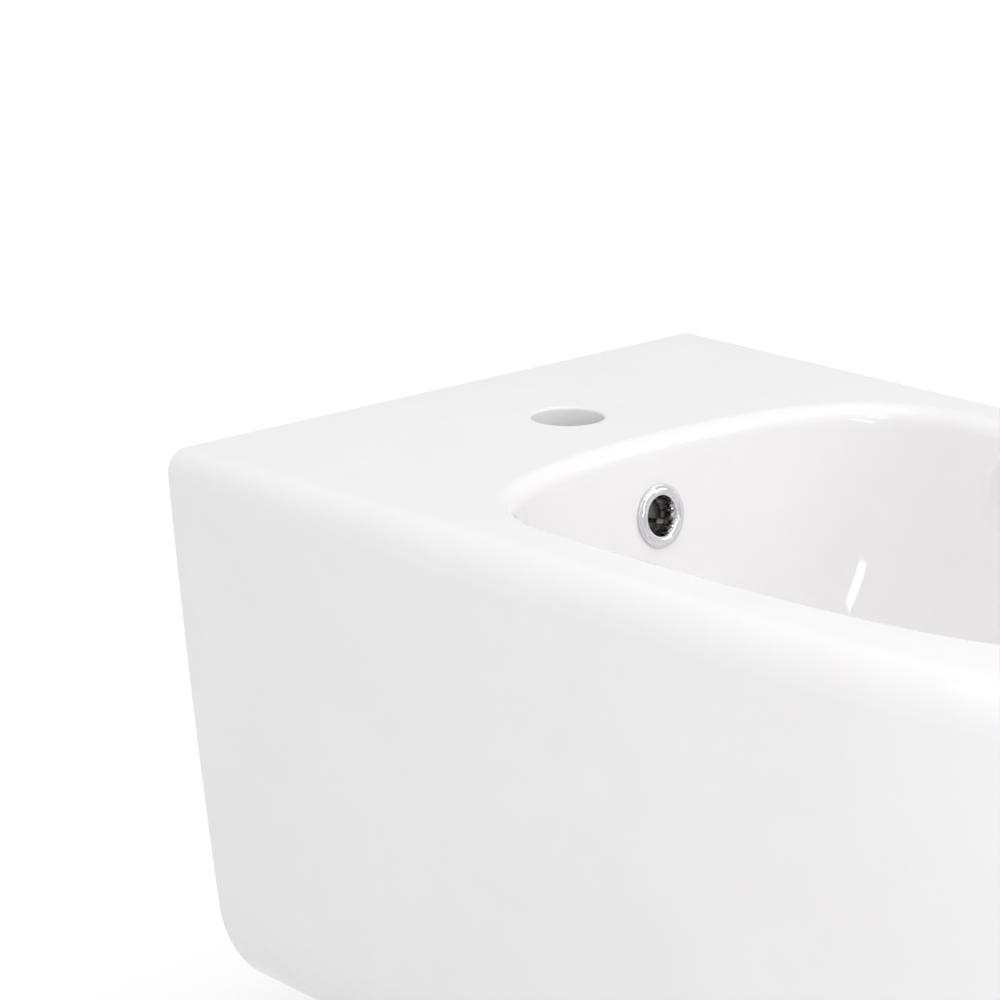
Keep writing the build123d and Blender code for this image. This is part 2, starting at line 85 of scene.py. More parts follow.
# %% [markdown]
# ## Helpers for node trees
#
# Materials and Geometry Nodes are both trees of nodes joined by links. One small function adds a node
# with its settings, sets the inputs that are plain values and links those that are sockets. That keeps
# every tree below short enough to read as a recipe.

# %% Node helper


def add_node(tree, kind, inputs=None, **settings):
    """Adds a node. An input may be a value or the socket of another node."""
    node = tree.nodes.new(kind)
    for name, value in settings.items():
        setattr(node, name, value)
    for name, value in (inputs or {}).items():
        if isinstance(value, bpy.types.NodeSocket):
            tree.links.new(value, node.inputs[name])
        else:
            node.inputs[name].default_value = value
    return node


def maths(tree, operation, first, second=0.0, third=0.0, clamp=False):
    """Adds one step of arithmetic and returns its result."""
    inputs = {0: first, 1: second, 2: third}
    return add_node(tree, "ShaderNodeMath", inputs, operation=operation, use_clamp=clamp).outputs[0]


# %% [markdown]
# ## The shape of the cast body
#
# Every level cut through the body is one outline: straight at the wall, long flat sides and a full
# round front. The outline draws in as the wall goes down and curls under at the hip, and at the top a
# rounded rim eats into it. So the whole outer skin follows one rule, and a mesh made from that rule
# can be as fine as the gloss needs. Modelling it by hand with a subdivision cage would be quicker,
# but the reflections would then drift away from the solid.

# %% Rule of the outer walls
DECK = 80.0
BODY_WIDTH = 355.0
PROJECTION = 550.0
BODY_HEIGHT = 293.0
STRAIGHT_SIDE = 215.0
SIDE_TAPER = 0.005
FRONT_FULLNESS = 0.88
FRONT_SQUARENESS = 0.98
RIM_RADII = (11.5, 18.5, 24.0)
SIDE_DRAFTS = (4.0, 6.9)
SIDE_HIP = 69.0
FRONT_DRAFTS = (8.0, 20.0)
FRONT_HIP = 120.0


def bezier(points, share):
    """Points on a cubic curve through its four control points, at each share of its length."""
    t = share[:, None]
    a, b, c, d = (np.array(p, float) for p in points)
    return (1 - t) ** 3 * a + 3 * t * (1 - t) ** 2 * b + 3 * t**2 * (1 - t) * c + t**3 * d


def wall_inset(depth, skin, drafts, hip_radius, rim_radius):
    """Distance that a wall has drawn in at a depth, for a face that lies skin inside it."""
    slope, low = math.tan(math.radians(drafts[0])), math.radians(drafts[1])
    centre = BODY_HEIGHT - hip_radius
    hip = centre + hip_radius * math.sin(low)
    bend = (math.tan(low) - slope) / (2 * hip)
    if depth <= hip:
        return slope * (depth - rim_radius) + bend * depth**2 + skin
    reach = max((hip_radius - skin) ** 2 - (depth - centre) ** 2, 0)
    return slope * (hip - rim_radius) + bend * hip**2 + hip_radius * math.cos(low) - math.sqrt(reach)


def rim_rounding(depth, radius):
    """Distance that a rounded top edge draws in at a depth."""
    return 0.0 if depth >= radius else radius - math.sqrt(radius**2 - (radius - depth) ** 2)


# %% Outline of one level


def mirrored(right):
    """Closed outline from its right half, which starts and ends on the centre line."""
    left = right[-2:0:-1] * [-1, 1]
    return np.vstack([right, left])


def body_outline(depth, skin=0.0, back=0.0, rounded=True, steps=(14, 54, 72)):
    """Level outline of the body at a depth below the deck."""
    side_in = wall_inset(depth, skin, SIDE_DRAFTS, SIDE_HIP, RIM_RADII[0])
    front_in = wall_inset(depth, skin, FRONT_DRAFTS, FRONT_HIP, RIM_RADII[2])
    rim = [rim_rounding(depth, radius) if rounded else 0.0 for radius in RIM_RADII]
    half_back = BODY_WIDTH / 2 - side_in - SIDE_TAPER * back - rim[0]
    half_side = BODY_WIDTH / 2 - side_in - SIDE_TAPER * STRAIGHT_SIDE - rim[1]
    front = -PROJECTION + front_in + rim[2]
    lead = FRONT_FULLNESS * (-STRAIGHT_SIDE - front)
    at_wall = np.linspace((0, -back), (half_back, -back), steps[0] + 1)
    along_side = np.linspace((half_back, -back), (half_side, -STRAIGHT_SIDE), steps[1] + 1)
    round_front = bezier([(half_side, -STRAIGHT_SIDE),
                          (half_side - SIDE_TAPER * lead, -STRAIGHT_SIDE - lead),
                          (FRONT_SQUARENESS * half_side, front), (0, front)],
                         np.linspace(0, 1, steps[2] + 1))
    return mirrored(np.vstack([at_wall[:-1], along_side[:-1], round_front]))


print("outline at the deck", len(body_outline(0.0)), "points")

# %% [markdown]
# ## The rule of the bowl
#
# The bowl starts as a rounded rectangle and ends as a circle round the drain. Its walls lean a little
# and then sweep into the floor along a flattened round, the curve that potters call a full belly. One
# number, the share of the depth already sunk, drives the outline from mouth to floor.

# %% Rule of the bowl
BOWL_BACK = 139.5
BOWL_HALF = 134.4
BOWL_WIDEST = 213.0
BOWL_FRONT = 505.0
BOWL_DEPTH = 150.0
BOWL_LEAN = 7.2
BOWL_FRONT_LEAN = 12.0
FLOOR_ROUNDNESS = 3.4
DRAIN_BACK = 265.0
DRAIN_FLOOR = 36.0
LIP_RADIUS = 9.0
MOUTH_SHAPE = np.array([0.75, 0.6, 0.65, 0.94])
CIRCLE = 0.5523


def bowl_inset(sunk, run, lean):
    """Distance that the bowl has drawn in at a share of its depth."""
    drawn = 1 - max(1 - sunk**FLOOR_ROUNDNESS, 0) ** (1 / FLOOR_ROUNDNESS)
    leaned = math.tan(math.radians(lean)) * BOWL_DEPTH
    return leaned * sunk + (run - leaned) * drawn


def bowl_back_at(sunk):
    """Place of the bowl's back wall on the centre line."""
    return -BOWL_BACK - bowl_inset(sunk, DRAIN_BACK - DRAIN_FLOOR - BOWL_BACK, BOWL_LEAN)


def bowl_outline(sunk, skin=0.0, steps=(60, 72)):
    """Level outline of the bowl at a share of its depth."""
    half = BOWL_HALF - bowl_inset(sunk, BOWL_HALF - DRAIN_FLOOR, BOWL_LEAN) + skin
    back = bowl_back_at(sunk) + skin
    front_run = BOWL_FRONT - DRAIN_BACK - DRAIN_FLOOR
    front = -BOWL_FRONT + bowl_inset(sunk, front_run, BOWL_FRONT_LEAN) - skin
    drawn = bowl_inset(sunk, 1, 0)
    widest = -BOWL_WIDEST + (BOWL_WIDEST - DRAIN_BACK) * drawn
    flat, full, lead, square = MOUTH_SHAPE + (CIRCLE - MOUTH_SHAPE) * drawn
    rear = bezier([(0, back), (flat * half, back), (half, widest + full * (back - widest)),
                   (half, widest)], np.linspace(0, 1, steps[0] + 1))
    fore = bezier([(half, widest), (half, widest + lead * (front - widest)),
                   (square * half, front), (0, front)], np.linspace(0, 1, steps[1] + 1))
    return mirrored(np.vstack([rear[:-1], fore]))


print("bowl mouth", bowl_outline(0.0).min(0), bowl_outline(0.0).max(0))

# %% [markdown]
# ## Skinning outlines into a closed shell
#
# A stack of outlines with the same number of points becomes a wall of four-sided faces, as ribs do
# under a hull. Flat ends that hold other outlines, such as the deck round the bowl's mouth, are filled
# by a triangulation that respects every edge. A narrow flat band goes round each of these edges first,
# so that the smooth shading of the roundings cannot bleed into the flat deck.

# %% Shell helpers


def within(points, loop):
    """Which points lie inside a closed outline, by counting the edges on one side of each."""
    x, y = points[:, 0:1], points[:, 1:2]
    start, end = loop, np.roll(loop, -1, 0)
    crossed = (start[:, 1] > y) != (end[:, 1] > y)
    rise = np.where(end[:, 1] == start[:, 1], 1.0, end[:, 1] - start[:, 1])
    at = start[:, 0] + (y - start[:, 1]) / rise * (end[:, 0] - start[:, 0])
    return (crossed & (x < at)).sum(1) % 2 == 1


# %% A shell of rings


class Shell:
    """Collects rings of points and the faces between them."""

    def __init__(self):
        self.points, self.faces = [], []

    def ring(self, outline, z):
        """Adds one level ring and returns its point numbers."""
        start = len(self.points)
        self.points += [(x, y, z) for x, y in outline]
        return list(range(start, len(self.points)))

    def wall(self, rings):
        """Joins each ring to the next with four-sided faces."""
        for upper, lower in zip(rings, rings[1:]):
            for i in range(len(upper)):
                j = (i + 1) % len(upper)
                self.faces.append((upper[i], upper[j], lower[j], lower[i]))

    def fill(self, outer, holes=()):
        """Fills the level area inside a ring, apart from the holes in it."""
        loops = [outer, *holes]
        ids = [i for loop in loops for i in loop]
        flat = [Vector(self.points[i][:2]) for i in ids]
        edges, start = [], 0
        for loop in loops:
            edges += [(start + i, start + (i + 1) % len(loop)) for i in range(len(loop))]
            start += len(loop)
        _, _, triangles, origins, _, _ = geometry.delaunay_2d_cdt(flat, edges, [], 0, 1e-6, True)
        corners = np.array([[origins[i][0] for i in triangle] for triangle in triangles])
        plan = np.array(flat)
        centres = plan[corners].mean(1)
        starts = np.cumsum([0] + [len(loop) for loop in loops])
        wanted = within(centres, plan[:starts[1]])
        for first, last in zip(starts[1:], starts[2:]):
            wanted &= ~within(centres, plan[first:last])
        self.faces += [tuple(ids[i] for i in triangle) for triangle in corners[wanted]]

    def mesh(self, name):
        """Turns the shell into a mesh in metres, with its faces pointing outwards."""
        mesh = bpy.data.meshes.new(name)
        mesh.from_pydata((np.array(self.points) * MM).tolist(), [], self.faces)
        edit = bmesh.new()
        edit.from_mesh(mesh)
        bmesh.ops.recalc_face_normals(edit, faces=edit.faces)
        edit.to_mesh(mesh)
        edit.free()
        return mesh


# %% Outlines from outlines


def drawn_outwards(outline, distance):
    """The same outline, moved outwards in plan."""
    step = np.roll(outline, -1, 0) - np.roll(outline, 1, 0)
    out = np.stack([-step[:, 1], step[:, 0]], 1) / np.linalg.norm(step, axis=1)[:, None]
    return outline + out * distance


def circle(radius, x=0.0, y=0.0, count=96):
    """Points of a level circle."""
    turns = np.linspace(0, 2 * math.pi, count, endpoint=False)
    return np.stack([x + radius * np.sin(turns), y + radius * np.cos(turns)], 1)


# %% [markdown]
# ## The glazed skin
#
# The outer skin, the rolled lip of the bowl, the bowl itself, the recess for the waste and the tap
# hole with its soft edge are one continuous surface on the real casting, because one coat of glaze
# runs over all of it. They are made as one shell here too, so no seam shows.

# %% Levels of the skin
TAP_BACK = 82.2
TAP_RADIUS = 17.5
TAP_LIP = 1.5
TAP_BLIND = 21.0
BAND = 1.0
HIP_TOP = BODY_HEIGHT - SIDE_HIP


def outer_depths(fine):
    """Depths at which the outer skin gets a ring: dense over the rim and the hip."""
    rim = [RIM_RADII[2] * (1 - math.cos(a)) for a in np.linspace(0, math.pi / 2, 3 * fine + 1)]
    wall = list(np.linspace(RIM_RADII[2], HIP_TOP, 4 * fine + 1))[1:]
    hip = [HIP_TOP + SIDE_HIP * math.sin(a) for a in np.linspace(0, math.pi / 2, 4 * fine + 1)][1:]
    return rim + wall + hip


def lip_offset(depth):
    """Distance from the bowl's wall to its rolled lip at a depth."""
    lean = math.radians(BOWL_LEAN)
    centre = LIP_RADIUS * (1 - math.sin(lean)) / math.cos(lean)
    reach = math.sqrt(max(LIP_RADIUS**2 - (LIP_RADIUS - depth) ** 2, 0))
    return centre - reach + depth * math.tan(lean)


# %% Lip and bowl


def bowl_rings(shell):
    """Adds the rings of the lip and of the bowl, down to the edge of the flat floor."""
    lip_end = LIP_RADIUS * (1 - math.sin(math.radians(BOWL_LEAN)))
    turns = np.linspace(0, 1, 13)
    rings = []
    for depth in [lip_end * (1 - math.cos(a * math.pi / 2)) for a in turns]:
        outline = drawn_outwards(bowl_outline(depth / BOWL_DEPTH), lip_offset(depth))
        rings.append(shell.ring(outline, DECK - depth))
    first = math.asin((lip_end / BOWL_DEPTH) ** (FLOOR_ROUNDNESS / 2))
    shares = [math.sin(a) ** (2 / FLOOR_ROUNDNESS) for a in np.linspace(first, math.pi / 2, 55)]
    steep = list(np.linspace(lip_end / BOWL_DEPTH, shares[2], 10))
    for sunk in steep[1:] + shares[3:]:
        rings.append(shell.ring(bowl_outline(sunk), DECK - BOWL_DEPTH * sunk))
    return rings


# %% The whole skin
WELL_RADIUS = 33.5
WELL_DEPTH = 5.0
WELL_EDGE = 0.4
DRAIN_HOLE = 23.0
DRAIN_BLIND = -115.0


def glazed_skin():
    """Closed shell of everything that the glaze covers, with blind holes for tap and drain."""
    shell = Shell()
    outer = [shell.ring(body_outline(d), DECK - d) for d in outer_depths(10)]
    shell.wall(outer)
    bowl = bowl_rings(shell)
    shell.wall(bowl)
    tap = []
    for a in np.linspace(0, math.pi / 2, 7):
        edge = circle(TAP_RADIUS + TAP_LIP * (1 - math.sin(a)), y=-TAP_BACK)
        tap.append(shell.ring(edge, DECK - TAP_LIP * (1 - math.cos(a))))
    tap.append(shell.ring(circle(TAP_RADIUS, y=-TAP_BACK), DECK - TAP_BLIND))
    shell.wall(tap)
    shell.fill(tap[-1])
    bands = [
        shell.ring(drawn_outwards(body_outline(0.0), -BAND), DECK),
        shell.ring(drawn_outwards(bowl_outline(0.0), lip_offset(0.0) + BAND), DECK),
        shell.ring(circle(TAP_RADIUS + TAP_LIP + BAND / 2, y=-TAP_BACK), DECK),
    ]
    for edge, band in zip((outer[0], bowl[0], tap[0]), bands):
        shell.wall([edge, band])
    shell.fill(bands[0], bands[1:])
    under = shell.ring(drawn_outwards(body_outline(BODY_HEIGHT), -BAND), DECK - BODY_HEIGHT)
    shell.wall([outer[-1], under])
    shell.fill(under)
    floor = DECK - BOWL_DEPTH
    well = [(WELL_RADIUS + WELL_EDGE, floor), (WELL_RADIUS, floor - WELL_EDGE),
            (WELL_RADIUS, floor - WELL_DEPTH), (DRAIN_HOLE, floor - WELL_DEPTH),
            (DRAIN_HOLE, DRAIN_BLIND)]
    rings = [shell.ring(circle(r, y=-DRAIN_BACK), z) for r, z in well]
    shell.wall(rings)
    shell.fill(bowl[-1], [rings[0]])
    shell.fill(rings[-1])
    return shell.mesh("glazed_skin")


skin_mesh = glazed_skin()
print("glazed skin", len(skin_mesh.vertices), "points", len(skin_mesh.polygons), "faces")

# %% [markdown]
# ## The hidden room inside the casting
#
# A sanitary casting is a shell: slip sets against the mould for about a centimetre and the rest is
# poured out. Under the deck that leaves a room for the tap's tails and the trap, with the bowl, the
# overflow duct, the waste boss and two fixing lugs standing in it. The room is made here as solids of
# its own, added to and cut from each other. Boolean modifiers with the exact solver do that, and their
# result is kept as a plain mesh, so that nothing is worked out twice.

# %% Plain solids
DECK_THICKNESS = 16.0
SIDE_WALL = 9.0
BACK_WALL = 16.0
BOWL_WALL = 10.0
DUCT_FRONT_WALL = 12.5
DUCT_GAP = 16.0
DUCT_WALL = 10.0
DUCT_HALF = 26.0
DUCT_TOP = 23.0
BASE = DECK - BODY_HEIGHT
NUT_FACE = -110.0
BOSS_RADIUS = 37.0
STUD_SPACING = 180.0
LUG_RADIUS = 24.0
LUG_LENGTH = 36.0


def stacked(levels):
    """Closed shell through level outlines, given as (outline, height) pairs."""
    shell = Shell()
    rings = [shell.ring(outline, z) for outline, z in levels]
    shell.wall(rings)
    shell.fill(rings[0])
    shell.fill(rings[-1])
    return shell.mesh("solid")


def box_solid(low, high):
    """Closed box between two corners."""
    (x0, y0, z0), (x1, y1, z1) = low, high
    outline = np.array([(x0, y0), (x1, y0), (x1, y1), (x0, y1)])
    return stacked([(outline, z0), (outline, z1)])


# %% Solids for the room


def cavity_solid():
    """The room before anything stands in it."""
    hip_radius = SIDE_HIP - SIDE_WALL
    depths = list(np.linspace(DECK_THICKNESS, HIP_TOP, 25))
    depths += [HIP_TOP + hip_radius * math.sin(a) for a in np.linspace(0, math.pi / 2, 17)[1:]]
    return stacked([(body_outline(d, SIDE_WALL, BACK_WALL, False, (6, 20, 36)), DECK - d)
                    for d in depths])


def bowl_solid(skin):
    """The bowl filled up and grown outwards by skin."""
    turns = np.linspace(math.radians(12), math.pi / 2, 22)
    shares = [math.sin(a) ** (2 / FLOOR_ROUNDNESS) for a in turns]
    shares = list(np.linspace(0, shares[0], 12))[:-1] + shares
    return stacked([(bowl_outline(s, skin, (30, 36)), DECK - (BOWL_DEPTH + skin) * s) for s in shares])


def duct_block(half, top, end):
    """Block that limits the overflow duct to a corridor under the middle of the bowl."""
    return box_solid((-half, -DRAIN_BACK - end, BASE), (half, 0, DECK - top))


def lug_solid(x):
    """Round lug behind the wall face that takes one stud."""
    turns = np.linspace(0, 2 * math.pi, 48, endpoint=False)
    shell = Shell()
    ends = []
    for y in (-LUG_LENGTH, 0.0):
        start = len(shell.points)
        shell.points += [(x + LUG_RADIUS * math.cos(a), y, LUG_RADIUS * math.sin(a)) for a in turns]
        ends.append(list(range(start, len(shell.points))))
    shell.wall(ends)
    shell.faces += [tuple(ends[0]), tuple(ends[1])]
    return shell.mesh("solid")


# %% Adding and cutting solids


def plain_mesh(thing, name):
    """The evaluated result of an object's modifiers, as a mesh of its own."""
    bpy.context.view_layer.update()
    evaluated = thing.evaluated_get(bpy.context.evaluated_depsgraph_get())
    mesh = bpy.data.meshes.new_from_object(evaluated)
    mesh.name = name
    bpy.data.objects.remove(thing)
    return mesh


def placed(mesh, name):
    """A new object that holds a mesh, at the origin."""
    thing = bpy.data.objects.new(name, mesh)
    bpy.context.scene.collection.objects.link(thing)
    return thing


def combined(base, tools, operation="DIFFERENCE"):
    """Cuts solids from a base, or keeps what they share with it."""
    thing = placed(base, "base")
    helpers = [placed(tool, "tool") for tool in tools]
    for helper in helpers:
        step = thing.modifiers.new("cut", "BOOLEAN")
        step.operation, step.solver, step.object = operation, "EXACT", helper
    mesh = plain_mesh(thing, base.name)
    for helper in helpers:
        bpy.data.objects.remove(helper)
    return mesh


# %% Room and duct
duct_shell = combined(bowl_solid(DUCT_FRONT_WALL + DUCT_GAP + DUCT_WALL),
                      [duct_block(DUCT_HALF + DUCT_WALL, 0.0, DUCT_HALF + DUCT_WALL)], "INTERSECT")
boss = stacked([(circle(BOSS_RADIUS, y=-DRAIN_BACK), z) for z in (NUT_FACE, DECK - BOWL_DEPTH)])
lugs = [lug_solid(side * STUD_SPACING / 2) for side in (-1, 1)]
room = combined(cavity_solid(), [bowl_solid(BOWL_WALL), duct_shell, boss, *lugs])
duct = combined(bowl_solid(DUCT_FRONT_WALL + DUCT_GAP), [bowl_solid(DUCT_FRONT_WALL)])
duct = combined(duct, [duct_block(DUCT_HALF, DUCT_TOP, DUCT_HALF)], "INTERSECT")
print("room", len(room.polygons), "faces, duct", len(duct.polygons), "faces")

# %% [markdown]
# ## Trees that make geometry
#
# Geometry Nodes suit what repeats, and what can be said as a rule. Each tree below starts from a mesh
# and a few named sizes, and ends by turning instances into real geometry and giving it a material. Its
# sizes are set through the identifiers of its sockets, it is evaluated once, and the plain result is
# kept, so that the finished piece carries no modifier.

# %% Geometry tree helpers


def geometry_tree(name, sizes):
    """Starts a tree with a mesh, a material and named sizes going in."""
    tree = bpy.data.node_groups.new(name, "GeometryNodeTree")
    sockets = tree.interface
    sockets.new_socket("Geometry", in_out="INPUT", socket_type="NodeSocketGeometry")
    sockets.new_socket("Material", in_out="INPUT", socket_type="NodeSocketMaterial")
    for label, value in sizes.items():
        kind = {int: "NodeSocketInt", float: "NodeSocketFloat"}.get(type(value), "NodeSocketVector")
        socket = sockets.new_socket(label, in_out="INPUT", socket_type=kind)
        socket.default_value = value
    sockets.new_socket("Geometry", in_out="OUTPUT", socket_type="NodeSocketGeometry")
    return tree, tree.nodes.new("NodeGroupInput").outputs


def end_tree(tree, geometry_socket, material_socket):
    """Realizes instances, sets the material and joins the result to the output."""
    real = add_node(tree, "GeometryNodeRealizeInstances", {"Geometry": geometry_socket})
    coat = add_node(tree, "GeometryNodeSetMaterial",
                    {"Geometry": real.outputs[0], "Material": material_socket})
    add_node(tree, "NodeGroupOutput", {0: coat.outputs[0]})
    return tree


def vector_of(tree, **parts):
    """Vector from the parts X, Y and Z, each a value or a socket."""
    return add_node(tree, "ShaderNodeCombineXYZ", parts).outputs[0]


def cylinder(tree, sides, radius, length):
    """Closed cylinder round the Z axis, centred on the origin."""
    inputs = {"Vertices": sides, "Radius": radius, "Depth": length}
    return add_node(tree, "GeometryNodeMeshCylinder", inputs).outputs[0]


def made_by(tree, name, mesh, material, sizes=None):
    """Runs a tree on a mesh and returns the plain result."""
    thing = placed(mesh, name)
    step = thing.modifiers.new("nodes", "NODES")
    step.node_group = tree
    values = {"Material": material, **(sizes or {})}
    for item in tree.interface.items_tree:
        if item.in_out == "INPUT" and item.name in values:
            step[item.identifier] = values[item.name]
    return plain_mesh(thing, name)


# %% From a mesh to a finished piece


def finished(mesh, name, sharp_angle=35.0):
    """Smooth shading with sharp edges where two faces meet at more than an angle."""
    edit = bmesh.new()
    edit.from_mesh(mesh)
    bmesh.ops.remove_doubles(edit, verts=edit.verts, dist=1e-6)
    bmesh.ops.recalc_face_normals(edit, faces=edit.faces)
    for face in edit.faces:
        face.smooth = True
    for edge in edit.edges:
        edge.smooth = edge.is_manifold and edge.calc_face_angle() < math.radians(sharp_angle)
    edit.to_mesh(mesh)
    edit.free()
    print(name, len(mesh.polygons), "faces")
    return placed(mesh, name)


def carry(mesh, name, body, node):
    """Finishes a mesh and lets it stand for a node of the frame."""
    piece = finished(mesh, name)
    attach(piece, body)
    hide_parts(node)
    return piece


# %% [markdown]
# ## Holes and openings in the casting
#
# The potter cuts the holes while the clay is leather-hard, each with a tool of its own shape. The tree
# does the same: two round cutters on a line for the studs, one that leans with the bowl's back wall
# for the overflow, and two rounded blocks for the openings in the wall face and the underside.

# %% Places and cutters
OVERFLOW_DEPTH = 36.6
BACK_OPENING_TOP = 140.0
BACK_OPENING_BOTTOM = 262.0
BASE_OPENING_END = 300.0
CUT_PAST_WALL = 80.0
RING_RADIUS = 15.0
above, below = [bowl_back_at((OVERFLOW_DEPTH + step) / BOWL_DEPTH)
                for step in (-RING_RADIUS, RING_RADIUS)]
RING_TILT = math.atan2(above - below, 2 * RING_RADIUS)
RING_PLACE = Vector((0, (above + below) / 2, DECK - OVERFLOW_DEPTH)) * MM


def moved(tree, geometry_socket, place, turn=(0, 0, 0)):
    """Moves and turns geometry inside a tree."""
    inputs = {"Geometry": geometry_socket, "Translation": place, "Rotation": turn}
    return add_node(tree, "GeometryNodeTransform", inputs).outputs[0]


def rounded_block(tree, width, height, corner, start, end):
    """Block with rounded corners, swept along a straight line from start to end."""
    shape = add_node(tree, "GeometryNodeCurvePrimitiveQuadrilateral",
                     {"Width": width, "Height": height})
    soft = add_node(tree, "GeometryNodeFilletCurve", {"Curve": shape.outputs[0], "Radius": corner,
                                                      "Count": 10, "Limit Radius": True}, mode="POLY")
    line = add_node(tree, "GeometryNodeCurvePrimitiveLine", {"Start": start, "End": end})
    swept = add_node(tree, "GeometryNodeCurveToMesh", {"Curve": line.outputs[0], "Fill Caps": True,
                                                       "Profile Curve": soft.outputs[0]})
    return swept.outputs[0]


# %% Tree: openings


def opening_tree():
    """Tree that cuts the casting's holes and openings."""
    tree, given = geometry_tree("casting_openings", {
        "Stud spacing": STUD_SPACING * MM, "Stud hole radius": 0.01, "Overflow hole radius": 0.01175,
        "Overflow hole length": 0.041, "Back opening width": 0.23,
        "Back opening height": (BACK_OPENING_BOTTOM - BACK_OPENING_TOP) * MM,
        "Back opening corner": 0.028, "Base opening width": 0.15,
        "Base opening length": (BASE_OPENING_END + CUT_PAST_WALL) * MM, "Base opening corner": 0.04})
    stud = cylinder(tree, 64, given["Stud hole radius"], 0.1)
    half = maths(tree, "MULTIPLY", given["Stud spacing"], -0.5)
    line = add_node(tree, "GeometryNodeMeshLine", {
        "Count": 2, "Start Location": vector_of(tree, X=half),
        "Offset": vector_of(tree, X=given["Stud spacing"])})
    studs = add_node(tree, "GeometryNodeInstanceOnPoints", {
        "Points": line.outputs[0], "Instance": stud, "Rotation": (math.pi / 2, 0, 0)})
    over = cylinder(tree, 96, given["Overflow hole radius"], given["Overflow hole length"])
    over = moved(tree, over, RING_PLACE, (math.pi / 2 - RING_TILT, 0, 0))
    middle = (DECK - (BACK_OPENING_TOP + BACK_OPENING_BOTTOM) / 2) * MM
    back = rounded_block(tree, given["Back opening width"], given["Back opening height"],
                         given["Back opening corner"], (0, 0, -0.032), (0, 0, 0.032))
    back = moved(tree, back, (0, 0, middle), (math.pi / 2, 0, 0))
    base = rounded_block(tree, given["Base opening width"], given["Base opening length"],
                         given["Base opening corner"], (0, 0, BASE * MM - 0.005), (0, 0, -0.154))
    base = moved(tree, base, (0, (CUT_PAST_WALL - BASE_OPENING_END) / 2 * MM, 0))
    studs = add_node(tree, "GeometryNodeRealizeInstances", {"Geometry": studs.outputs[0]})
    body = given["Geometry"]
    for tool in (studs.outputs[0], over, back, base):
        cut = add_node(tree, "GeometryNodeMeshBoolean", {"Mesh 1": body, "Mesh 2": tool},
                       operation="DIFFERENCE", solver="EXACT")
        body = cut.outputs[0]
    return end_tree(tree, body, given["Material"])


# %% [markdown]
# ## Materials: glaze over clay
#
# A vitreous glaze is a thin layer of white glass. Up close it isn't perfectly even: it is a shade
# warmer where it lies thick, its surface has a very shallow orange peel, and the casting under it has
# long soft waves, all of which bend the reflections slightly. Where no glaze runs, inside the casting
# and on the ground wall face, the fired clay shows: matt, creamy and slightly gritty. One material
# holds both, and an attribute on the faces tells it where the clay is bare.

# %% Material helpers


def new_material(name):
    """A material with a Principled shader and the object's own coordinates."""
    material = bpy.data.materials.new(name)
    material.use_nodes = True
    tree = material.node_tree
    tree.nodes.clear()
    shader = add_node(tree, "ShaderNodeBsdfPrincipled")
    add_node(tree, "ShaderNodeOutputMaterial", {"Surface": shader.outputs[0]})
    place = add_node(tree, "ShaderNodeTexCoord").outputs["Object"]
    return material, tree, shader, place


def noise(tree, place, scale, detail=2.0, roughness=0.5):
    """Soft random pattern whose features are about one over scale metres across."""
    inputs = {"Vector": place, "Scale": scale, "Detail": detail, "Roughness": roughness}
    return add_node(tree, "ShaderNodeTexNoise", inputs).outputs["Fac"]


def spread(tree, value, low, high, start=0.3, end=0.7):
    """Stretches a pattern from one range to another."""
    inputs = {"Value": value, "From Min": start, "From Max": end, "To Min": low, "To Max": high}
    return add_node(tree, "ShaderNodeMapRange", inputs).outputs[0]


def blend_colours(tree, share, first, second):
    """Mixes two colours, or two colour sockets, by a share."""
    node = add_node(tree, "ShaderNodeMix", data_type="RGBA")
    for socket, value in ((node.inputs[0], share), (node.inputs[6], first), (node.inputs[7], second)):
        if isinstance(value, bpy.types.NodeSocket):
            tree.links.new(value, socket)
        elif isinstance(value, tuple):
            socket.default_value = (*value, 1.0)
        else:
            socket.default_value = value
    return node.outputs[2]


def bump(tree, height, distance, strength=1.0, normal=None):
    """Turns a pattern into relief of a given depth in metres."""
    inputs = {"Height": height, "Distance": distance, "Strength": strength}
    if normal is not None:
        inputs["Normal"] = normal
    return add_node(tree, "ShaderNodeBump", inputs).outputs[0]


# %% Glaze and bare clay
GLAZE_THIN = (0.868, 0.853, 0.860)
GLAZE_THICK = (0.846, 0.829, 0.835)
CLAY_PALE = (0.79, 0.765, 0.715)
CLAY_DARK = (0.71, 0.68, 0.625)


